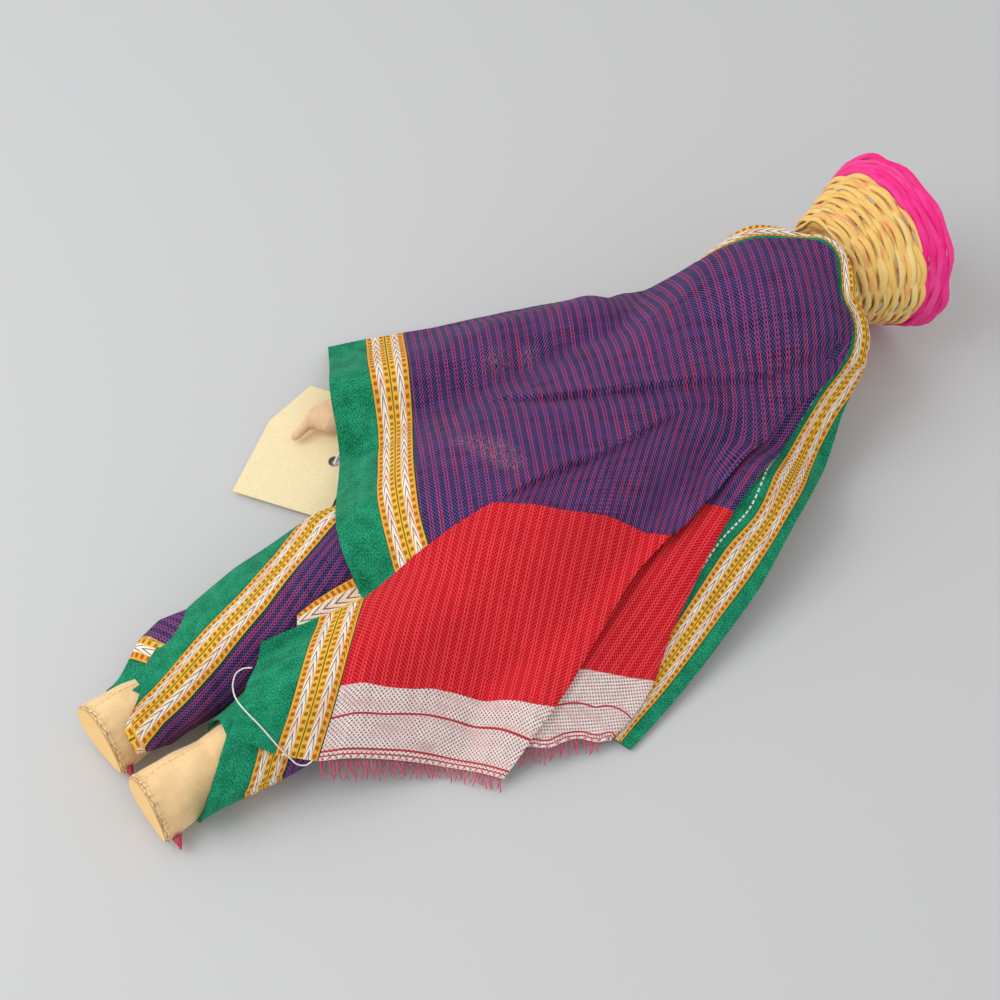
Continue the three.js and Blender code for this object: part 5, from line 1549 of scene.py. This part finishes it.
white = mix(tree, weft.rise(0.45, 0.7) * 0.5, white, dye(232, 182, 178))
cross_lines = to_cut.line(RED_LINE_FROM_CUT, 0.8) + to_cut.line(3.1, 0.7) + to_cut.line(1.5, 0.45)
white = mix(tree, cross_lines * (warp.rise(0.1, 0.4) * 0.3 + 0.65), white, RED_LINE)
last_dashes = to_cut.line(0.75, 0.7) * (across * (2 * np.pi / 1.5)).wave().rise(-0.5, 0.1)
white = mix(tree, to_cut.line(0.75, 0.8) * 0.6, white, RED_LINE)
white = mix(tree, last_dashes, white, WHITE)
ground = mix(tree, to_cut.rise(WHITE_BAND - 0.15, WHITE_BAND + 0.15), white, red)
RED_END = WHITE_BAND + RED_GROUND
ground = mix(tree, to_cut.rise(RED_END - 0.15, RED_END + 0.15), ground, purple)
feed(tree, result["Color"], ground)
feed(tree, result["Height"], pair * 0.5 + check * -0.5)

# %% [markdown]
# The border is green cloth with a woven gold tape. The tape is the same on both sides of its dark middle
# line: a row of squares, a row of chevrons in white thread, a row of squares and a plain edge. Green
# shows outside it, and a very dark green line closes it towards the ground.

# %% Woven border
GREEN_DEEP, GREEN_LIGHT, GREEN_DARK = dye(0, 104, 72), dye(44, 172, 126), dye(6, 44, 40)
GOLD_YELLOW, GOLD_ORANGE = dye(248, 198, 74), dye(242, 172, 64)
GOLD_BROWN, OLIVE = dye(176, 88, 12), dye(126, 106, 14)
CHEVRON_WHITE, CHEVRON_PINK, CHEVRON_GAP = dye(255, 246, 232), dye(252, 216, 192), dye(112, 72, 48)
SQUARE_PITCH, CHEVRON_PITCH, CHEVRON_SLOPE = 1.6, 3.2, 4.6

border_group, given, result = new_group(
    "woven_border",
    [("Across", NUMBER), ("Along", NUMBER), ("Green Inside", NUMBER)],
    [("Color", COLOUR), ("Height", NUMBER), ("Cover", NUMBER)],
)
tree = border_group
across, along, green_inside = (Mark(tree, given[key]) for key in ("Across", "Along", "Green Inside"))
spot = vector_of(tree, across, along)
from_middle = (across - GOLD / 2).size()
grain = noise(tree, spot, 3.6, 1.0, (1.0, 0.7, 1.0)) * 0.7 + noise(tree, spot, 0.25, 2.0) * 0.3
green = mix(tree, grain.rise(0.36, 0.66), GREEN_DEEP, GREEN_LIGHT)
running_stitch = across.line(-2.2, 0.4) * along.repeat(1.6).between(0.15, 1.15) * green_inside
green = mix(tree, running_stitch, green, CHEVRON_WHITE)
gold = mix(tree, from_middle.rise(0.8, 3.4) * 0.8, GOLD_YELLOW, GOLD_ORANGE)
square_rows = from_middle.between(0.45, 1.35, 0.15) + from_middle.between(3.45, 4.35, 0.15)
squares = along.repeat(SQUARE_PITCH).between(0.35, 1.2, 0.2) * square_rows
gold = mix(tree, squares * 0.9, gold, GOLD_BROWN)
row_off = (from_middle - 2.45).size()
phase = (along + row_off * CHEVRON_SLOPE).repeat(CHEVRON_PITCH)
in_row = row_off.rise(0.95, 0.85)
strokes = mix(tree, noise(tree, spot, 0.12, 2.0).rise(0.4, 0.65), CHEVRON_WHITE, CHEVRON_PINK)
gold = mix(tree, in_row, gold, strokes)
gaps = phase.line(1.6, 0.85, 0.2)
gap_colour = mix(tree, row_off.rise(0.45, 0.8), CHEVRON_GAP, GOLD_ORANGE)
gold = mix(tree, in_row * gaps * 0.92, gold, gap_colour)
gold = mix(tree, from_middle.line(0.0, 0.34), gold, OLIVE)
border = mix(tree, from_middle.rise(GOLD / 2 + 0.05, GOLD / 2 - 0.05), green, gold)
ground_side = across.between(-0.5, -0.02) * (green_inside * -0.7 + 1.0)
dark_line = (ground_side + across.between(GOLD + 0.02, GOLD + 0.22) * 0.7).math("MINIMUM", 1.0)
border = mix(tree, dark_line * 0.85, border, GREEN_DARK)
cover = across.rise(-0.55, -0.45).math("MAXIMUM", green_inside)
feed(tree, result["Color"], border)
raised_rows = squares * 0.5 + in_row * (gaps * -0.6 + 0.6)
feed(tree, result["Height"], from_middle.rise(GOLD / 2 + 0.2, GOLD / 2 - 0.1) * 1.2 + raised_rows)
feed(tree, result["Cover"], cover)

# %% [markdown]
# The sari's material reads the two maps that each cloth piece carries and puts the groups together. Worn
# pale patches lie where the cloth rubs over the shoulder and the hip. The shader itself stays here,
# outside the groups.

# %% Sari cloth


def new_material(name, roughness, sheen=0.0, specular=0.3):
    """A material with one Principled shader; these constants are written on its own sockets."""
    material = bpy.data.materials.new(name)
    material.use_nodes = True
    shader = material.node_tree.nodes["Principled BSDF"]
    shader.inputs["Roughness"].default_value = roughness
    shader.inputs["Specular IOR Level"].default_value = specular
    shader.inputs["Sheen Weight"].default_value = sheen
    shader.inputs["Sheen Roughness"].default_value = 0.5
    return material, material.node_tree, shader


def bump(tree, shader, height, deep):
    """Feeds a height, times `deep` metres, to the shader's normal."""
    node = tree.nodes.new("ShaderNodeBump")
    node.inputs["Distance"].default_value = deep
    node.inputs["Strength"].default_value = 1.0
    feed(tree, node.inputs["Height"], height)
    tree.links.new(node.outputs[0], shader.inputs["Normal"])


def map_pair(tree, name):
    """The two numbers of a piece's own map."""
    node = tree.nodes.new("ShaderNodeUVMap")
    node.uv_map = name
    split = tree.nodes.new("ShaderNodeSeparateXYZ")
    tree.links.new(node.outputs[0], split.inputs[0])
    return Mark(tree, split.outputs[0]), Mark(tree, split.outputs[1])


def place_of(tree):
    """Object coordinates, in metres."""
    return tree.nodes.new("ShaderNodeTexCoord").outputs["Object"]


def near(tree, at, reach):
    """1 at a point in the doll's millimetres, falling to 0 at this reach."""
    node = tree.nodes.new("ShaderNodeVectorMath")
    node.operation = "DISTANCE"
    tree.links.new(place_of(tree), node.inputs[0])
    node.inputs[1].default_value = tuple(to_row(at))
    return Mark(tree, node.outputs["Value"]).rise(reach * MM, 0.0)


RUBBED = [
    ((23.4, 37.1, 22), 6.0), ((30.7, 33.3, 22.6), 5.0), ((-4, 15.5, 32.4), 5.0), ((-1.6, 10.4, 34.2), 6.5),
    ((0.4, 5.6, 35), 7.5), ((1, 0.6, 35.5), 5.5),
]
PALE = dye(206, 152, 150)

sari_cloth, tree, shader = new_material("sari_cloth", 0.85, sheen=0.04, specular=0.12)
across, along = map_pair(tree, "thread")
border_across, to_cut = map_pair(tree, "border")
ground = use_group(tree, ground_group, Across=across, Along=along, **{"To Cut": to_cut})
border = use_group(
    tree, border_group, Across=border_across, Along=along, **{"Green Inside": to_cut.rise(150.0, 151.0)}
)
weave = use_group(tree, weave_group, Across=across, Along=along, Pitch=0.42)
cover = Mark(tree, border["Cover"])
colour = mix(tree, cover, ground["Color"], border["Color"])
rubbed = near(tree, *RUBBED[0])
for at, reach in RUBBED[1:]:
    rubbed = rubbed + near(tree, at, reach)
threads = noise(tree, vector_of(tree, across, along), 2.6, 2.0, (1.0, 0.45, 1.0)).rise(0.4, 0.72)
colour = mix(tree, rubbed.rise(0.0, 1.0) * threads * 0.38, colour, PALE)
shade = Mark(tree, weave["Shade"])
colour = mix(tree, shade.rise(0.95, 0.35) * 0.3, colour, dye(24, 14, 30))
feed(tree, shader.inputs["Base Color"], colour)
bare = cover * -1.0 + 1.0
heights = Mark(tree, weave["Height"]) * 0.05 + Mark(tree, ground["Height"]) * bare * 0.1
bump(tree, shader, heights + Mark(tree, border["Height"]) * cover * 0.12, MM)
feed(tree, shader.inputs["Roughness"], shade * -0.1 + 0.9)
for piece in (
    pallu_back, pallu_left, pallu_end, pallu_tuck, pallu_strip, pallu_border,
    left_wrap_cloth, left_cuff_cloth, right_cuff_cloth,
):
    piece.data.materials.append(sari_cloth)
print("sari cloth nodes:", len(tree.nodes))

# %% [markdown]
# The plain cottons, undyed muslin, skin, soles, red toes, blouse and stuffing, differ in colour and
# thread only. One group gives a weave and slight stains from Object coordinates, and each material sets
# its own colours.

# %% Plain cottons
cotton_group, given, result = new_group(
    "plain_cotton",
    [("Place", VECTOR), ("Pitch", NUMBER)],
    [("Stain", NUMBER), ("Height", NUMBER), ("Shade", NUMBER)],
)
tree = cotton_group
split = tree.nodes.new("ShaderNodeSeparateXYZ")
tree.links.new(given["Place"], split.inputs[0])
px, py, pz = (Mark(tree, split.outputs[k]) for k in range(3))
pitch = Mark(tree, given["Pitch"])
one = ((px + pz * 0.5) / pitch * np.pi).wave()
two = ((py + pz * 0.8) / pitch * np.pi).wave()
slub = noise(tree, given["Place"], 900.0, 3.0, (1.0, 0.25, 0.4))
slub = slub + noise(tree, given["Place"], 900.0, 3.0, (0.25, 1.0, 0.4))
feed(tree, result["Stain"], noise(tree, given["Place"], 140.0, 4.0))
feed(tree, result["Height"], one * two * 0.5 + slub * 0.7)
feed(tree, result["Shade"], one * two * 0.2 + slub * 0.6)


def cotton(name, light, deep, stain, pitch=0.5, sheen=0.2):
    """Light threads, deep gaps, and stains of a third colour in the hollows of a slow noise."""
    material, tree, shader = new_material(name, 0.88, sheen=sheen, specular=0.2)
    parts = use_group(tree, cotton_group, Place=place_of(tree), Pitch=pitch * MM)
    colour = mix(tree, Mark(tree, parts["Shade"]).rise(0.9, 0.35) * 0.6, light, deep)
    colour = mix(tree, Mark(tree, parts["Stain"]).rise(0.5, 0.72) * 0.6, colour, stain)
    feed(tree, shader.inputs["Base Color"], colour)
    bump(tree, shader, Mark(tree, parts["Height"]) * 0.07, MM)
    return material


muslin = cotton("muslin", dye(255, 220, 166), dye(238, 196, 140), dye(240, 194, 136), pitch=0.3)
skin_cotton = cotton("skin_cotton", dye(242, 204, 164), dye(216, 170, 130), dye(226, 176, 138), pitch=0.3)
sole_cotton = cotton("sole_cotton", dye(255, 210, 132), dye(250, 200, 118), dye(248, 194, 112), pitch=0.4)
toe_cotton = cotton("toe_cotton", dye(218, 76, 104), dye(160, 32, 56), dye(232, 142, 160))
fringe_cotton = cotton("fringe_cotton", dye(230, 96, 122), dye(196, 56, 84), dye(240, 150, 164))
blouse_cotton = cotton("blouse_cotton", dye(0, 118, 80), dye(0, 82, 58), dye(20, 140, 98))
purple_cotton = cotton("purple_cotton", dye(66, 44, 108), dye(34, 26, 70), dye(84, 46, 110))
waste_cotton = cotton("waste_cotton", dye(240, 236, 226), dye(216, 208, 194), dye(226, 218, 204), pitch=0.9)
# The brown of the sewing thread, also used for painted shade on the foot's gathers.
THREAD_AND_SHADE_BROWN = dye(132, 96, 56)
TOP_SEAM, SIDE_SEAM = -28.0, 100.0


def add_marks(material, map_name, paint):
    """Lays one more colour over a finished cotton, where `paint` of its own map is 1."""
    copy = material.copy()
    tree = copy.node_tree
    shader = tree.nodes["Principled BSDF"]
    under = shader.inputs["Base Color"].links[0].from_socket
    feed(tree, shader.inputs["Base Color"], mix(tree, paint(*map_pair(tree, map_name)), under, THREAD_AND_SHADE_BROWN))
    return copy


def foot_stitches(round_by, from_sole):
    """A sewn line along each side of the foot, a dark seam where the cloth is turned in at the sole, and
    painted shade in the thread's brown on the short gathers beside that seam."""
    stitches = from_sole.repeat(1.7).between(0.2, 1.3, 0.15)
    lengthways = (round_by.line(TOP_SEAM, 1.4, 0.6) + round_by.line(SIDE_SEAM, 1.4, 0.6)) * stitches
    wavy = from_sole + (round_by * 0.21).wave() * 0.16 + (round_by * 0.47).wave() * 0.12
    edge_seam = wavy.line(0.35, 0.3, 0.12) * 0.8
    # Painted shade: the gathers beside the sole seam are darkened in bands round the foot, in the thread's
    # brown.
    pucker_shade = (round_by * 0.53 + (round_by * 0.11).wave() * 2.0).wave().rise(0.5, 0.9)
    pucker_shade = pucker_shade * from_sole.rise(2.6, 0.6) * 0.35
    return (lengthways * 0.8 + edge_seam + pucker_shade).math("MINIMUM", 1.0) * 0.85


foot_muslin = add_marks(muslin, "seam", foot_stitches)
sole_plate = add_marks(sole_cotton, "rim", lambda rim, _: rim.rise(0.93, 0.985) * 0.5)
for leg in ("left", "right"):
    feet[leg].data.materials.append(foot_muslin)
    soles[leg].data.materials.append(sole_plate)
    toes[leg].data.materials.append(toe_cotton)
for piece in (left_stuffed_hand, right_stuffed_hand, arms["left"], arms["right"]):
    piece.data.materials.append(skin_cotton)
for piece in (stuffed_trunk, legs["left"], legs["right"]):
    piece.data.materials.append(muslin)
for piece, finish in zip(BODY_CLOTH, (purple_cotton, blouse_cotton, blouse_cotton, blouse_cotton)):
    piece.data.materials.append(finish)


def sewn_face(across_face, up_face):
    """Closed eyes and a mouth in plain stitches: each is a short arc, v = v0 + k (u - u0)^2."""
    eyes = across_face.size() * -1.0 + 0.34
    lids = (up_face - eyes * eyes * 2.2 - 0.12).line(0.0, 0.014, 0.008)
    lids = lids * eyes.size().between(-1.0, 0.14, 0.01)
    mouth = (up_face - across_face * across_face * 1.6 + 0.42).line(0.0, 0.014, 0.008)
    return lids + mouth * across_face.size().between(-1.0, 0.15, 0.01)


stuffed_head.data.materials.append(add_marks(skin_cotton, "face", sewn_face))
for piece in (end_fringe, strip_fringe):
    piece.data.materials.append(fringe_cotton)
print("cottons: muslin, skin, sole, toe, blouse, waste")

# %% [markdown]
# Straw is split stems: long streaks along each strand, dry and slightly shiny. Where the dyed rim was wet
# it has stained the plain straw beside it, so the plain straw has pink marks.

# %% Straw
straw_group, given, result = new_group(
    "straw_grain",
    [("Along", NUMBER), ("Across", NUMBER)],
    [("Streak", NUMBER), ("Patch", NUMBER), ("Height", NUMBER)],
)
tree = straw_group
along, across = Mark(tree, given["Along"]), Mark(tree, given["Across"])
spot = vector_of(tree, along, across)
fibre = noise(tree, spot, 1.0, 3.0, (0.25, 5.0, 1.0))
feed(tree, result["Streak"], fibre)
feed(tree, result["Patch"], noise(tree, spot, 0.12, 3.0, (1.0, 1.5, 1.0)))
feed(tree, result["Height"], fibre + noise(tree, spot, 1.0, 1.0, (0.6, 1.2, 1.0)))


def straw(name, light, deep, pale, dark, stain, stain_share):
    """Light and deep streaks, paler strands, dark cracks, painted shade where each strand meets the next,
    and patches of a stain.
    """
    material, tree, shader = new_material(name, 0.55, specular=0.4)
    along, across = map_pair(tree, "strand")
    parts = use_group(tree, straw_group, Along=along, Across=across)
    streak = Mark(tree, parts["Streak"])
    colour = mix(tree, streak.rise(0.35, 0.65), deep, light)
    colour = mix(tree, streak.rise(0.34, 0.24) * 0.8, colour, dark)
    strand = (across / STRAND_GAP).math("FLOOR")
    tint = (strand * 2.4 + along * 0.055).wave() * 0.5 + (strand * 5.1 - along * 0.021).wave() * 0.5
    colour = mix(tree, tint.rise(-0.2, 0.9) * 0.55, colour, pale)
    colour = mix(tree, Mark(tree, parts["Patch"]).rise(0.52, 0.66) * stain_share, colour, stain)
    # Painted shade: each strand's top and bottom edges, where it tucks under the next row, are darkened
    # towards the dark colour.
    edge = (across.repeat(STRAND_GAP) - STRAND_GAP / 2).wave().size().rise(0.72, 1.0)
    colour = mix(tree, edge * 0.45, colour, dark)
    feed(tree, shader.inputs["Base Color"], colour)
    feed(tree, shader.inputs["Roughness"], streak * 0.3 + 0.4)
    bump(tree, shader, Mark(tree, parts["Height"]) * 0.12, MM)
    return material


# The fourth colour is for the cracks and for the painted shade at the strand edges.
plain_straw = straw(
    "plain_straw", dye(255, 216, 124), dye(255, 200, 104), dye(255, 236, 168), dye(176, 108, 40),
    dye(250, 142, 116), 0.5,
)
pink_straw = straw(
    "pink_straw", dye(255, 34, 148), dye(252, 8, 126), dye(255, 104, 178), dye(176, 0, 84),
    dye(255, 84, 168), 0.4,
)
basket_pink_rim.data.materials.append(pink_straw)
for piece in (basket_weave, basket_ribs_straw, basket_base_weave):
    piece.data.materials.append(plain_straw)

# %% [markdown]
# The rest is small: cream card for the blank tag, white cotton thread, and black yarn hair. Then the
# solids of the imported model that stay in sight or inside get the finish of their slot.

# %% Card, thread and hair
card, tree, shader = new_material("card", 0.8)
spot = place_of(tree)
fibre = noise(tree, spot, 1500.0, 3.0)
colour = mix(tree, fibre.rise(0.3, 0.75), dye(248, 228, 180), dye(254, 238, 196))
colour = mix(tree, noise(tree, spot, 60.0, 3.0).rise(0.5, 0.8) * 0.2, colour, dye(228, 204, 158))
feed(tree, shader.inputs["Base Color"], colour)
bump(tree, shader, fibre * 0.03, MM)

cotton_thread, tree, shader = new_material("cotton_thread", 0.8, sheen=0.2)
twist = noise(tree, place_of(tree), 3000.0, 2.0)
colour = mix(tree, twist.rise(0.3, 0.7), dye(206, 200, 188), dye(250, 248, 242))
feed(tree, shader.inputs["Base Color"], colour)
bump(tree, shader, twist * 0.08, MM)

yarn_hair, tree, shader = new_material("yarn_hair", 0.6, sheen=0.1)
lock = noise(tree, place_of(tree), 500.0, 3.0, (0.2, 2.0, 1.0))
feed(tree, shader.inputs["Base Color"], mix(tree, lock.rise(0.3, 0.7), dye(14, 11, 10), dye(48, 38, 34)))
bump(tree, shader, lock * 0.5, MM)

loose_white_thread.data.materials.append(cotton_thread)
hair_cap.data.materials.append(yarn_hair)
SLOT_FINISH = {
    "muslin": muslin, "skin": skin_cotton, "stuffing": waste_cotton, "hair": yarn_hair,
    "blouse": blouse_cotton, "straw": plain_straw, "pink_straw": pink_straw, "card": card,
    "sole": sole_cotton, "toe": toe_cotton, "thread": cotton_thread, "sari": purple_cotton,
    "border": purple_cotton,
}
for part in frame["record"]["subparts"]:
    for material_slot in frame["nodes"][part["node"]].material_slots:
        material_slot.material = SLOT_FINISH[part["material_slot"]]

# %% [markdown]
# ## Floor and light
# A plain pale floor takes the shadow, and one soft lamp with an even sky shows the colours as they were
# written.

# %% Floor and light
FLOOR_HALF = 0.35
FLOOR_CORNERS = [(-1, -1), (1, -1), (1, 1), (-1, 1)]
SKY_LIGHT = 0.72
LAMP_SIZE = 0.5
LAMP_WATTS = 2.2
LAMP_PLACE = (-0.42, 0.2, 0.55)
LAMP_TURN = (-16, -37, 0)
scene = bpy.context.scene
scene.view_settings.view_transform = "Standard"
floor_mesh = bpy.data.meshes.new("floor")
floor_mesh.from_pydata([(x * FLOOR_HALF, y * FLOOR_HALF, 0) for x, y in FLOOR_CORNERS], [], [(0, 1, 2, 3)])
floor = bpy.data.objects.new("floor", floor_mesh)
scene.collection.objects.link(floor)
floor_paint, tree, shader = new_material("floor_paint", 0.9)
shader.inputs["Base Color"].default_value = dye(206, 207, 208)
floor.data.materials.append(floor_paint)
world = bpy.data.worlds.new("studio")
scene.world = world
world.use_nodes = True
world.node_tree.nodes["Background"].inputs[0].default_value = (1, 1, 1, 1)
world.node_tree.nodes["Background"].inputs[1].default_value = SKY_LIGHT
lamp_data = bpy.data.lights.new("key", "AREA")
lamp_data.size = LAMP_SIZE
lamp_data.energy = LAMP_WATTS
lamp = bpy.data.objects.new("key", lamp_data)
scene.collection.objects.link(lamp)
lamp.location = LAMP_PLACE
lamp.rotation_euler = np.radians(LAMP_TURN)
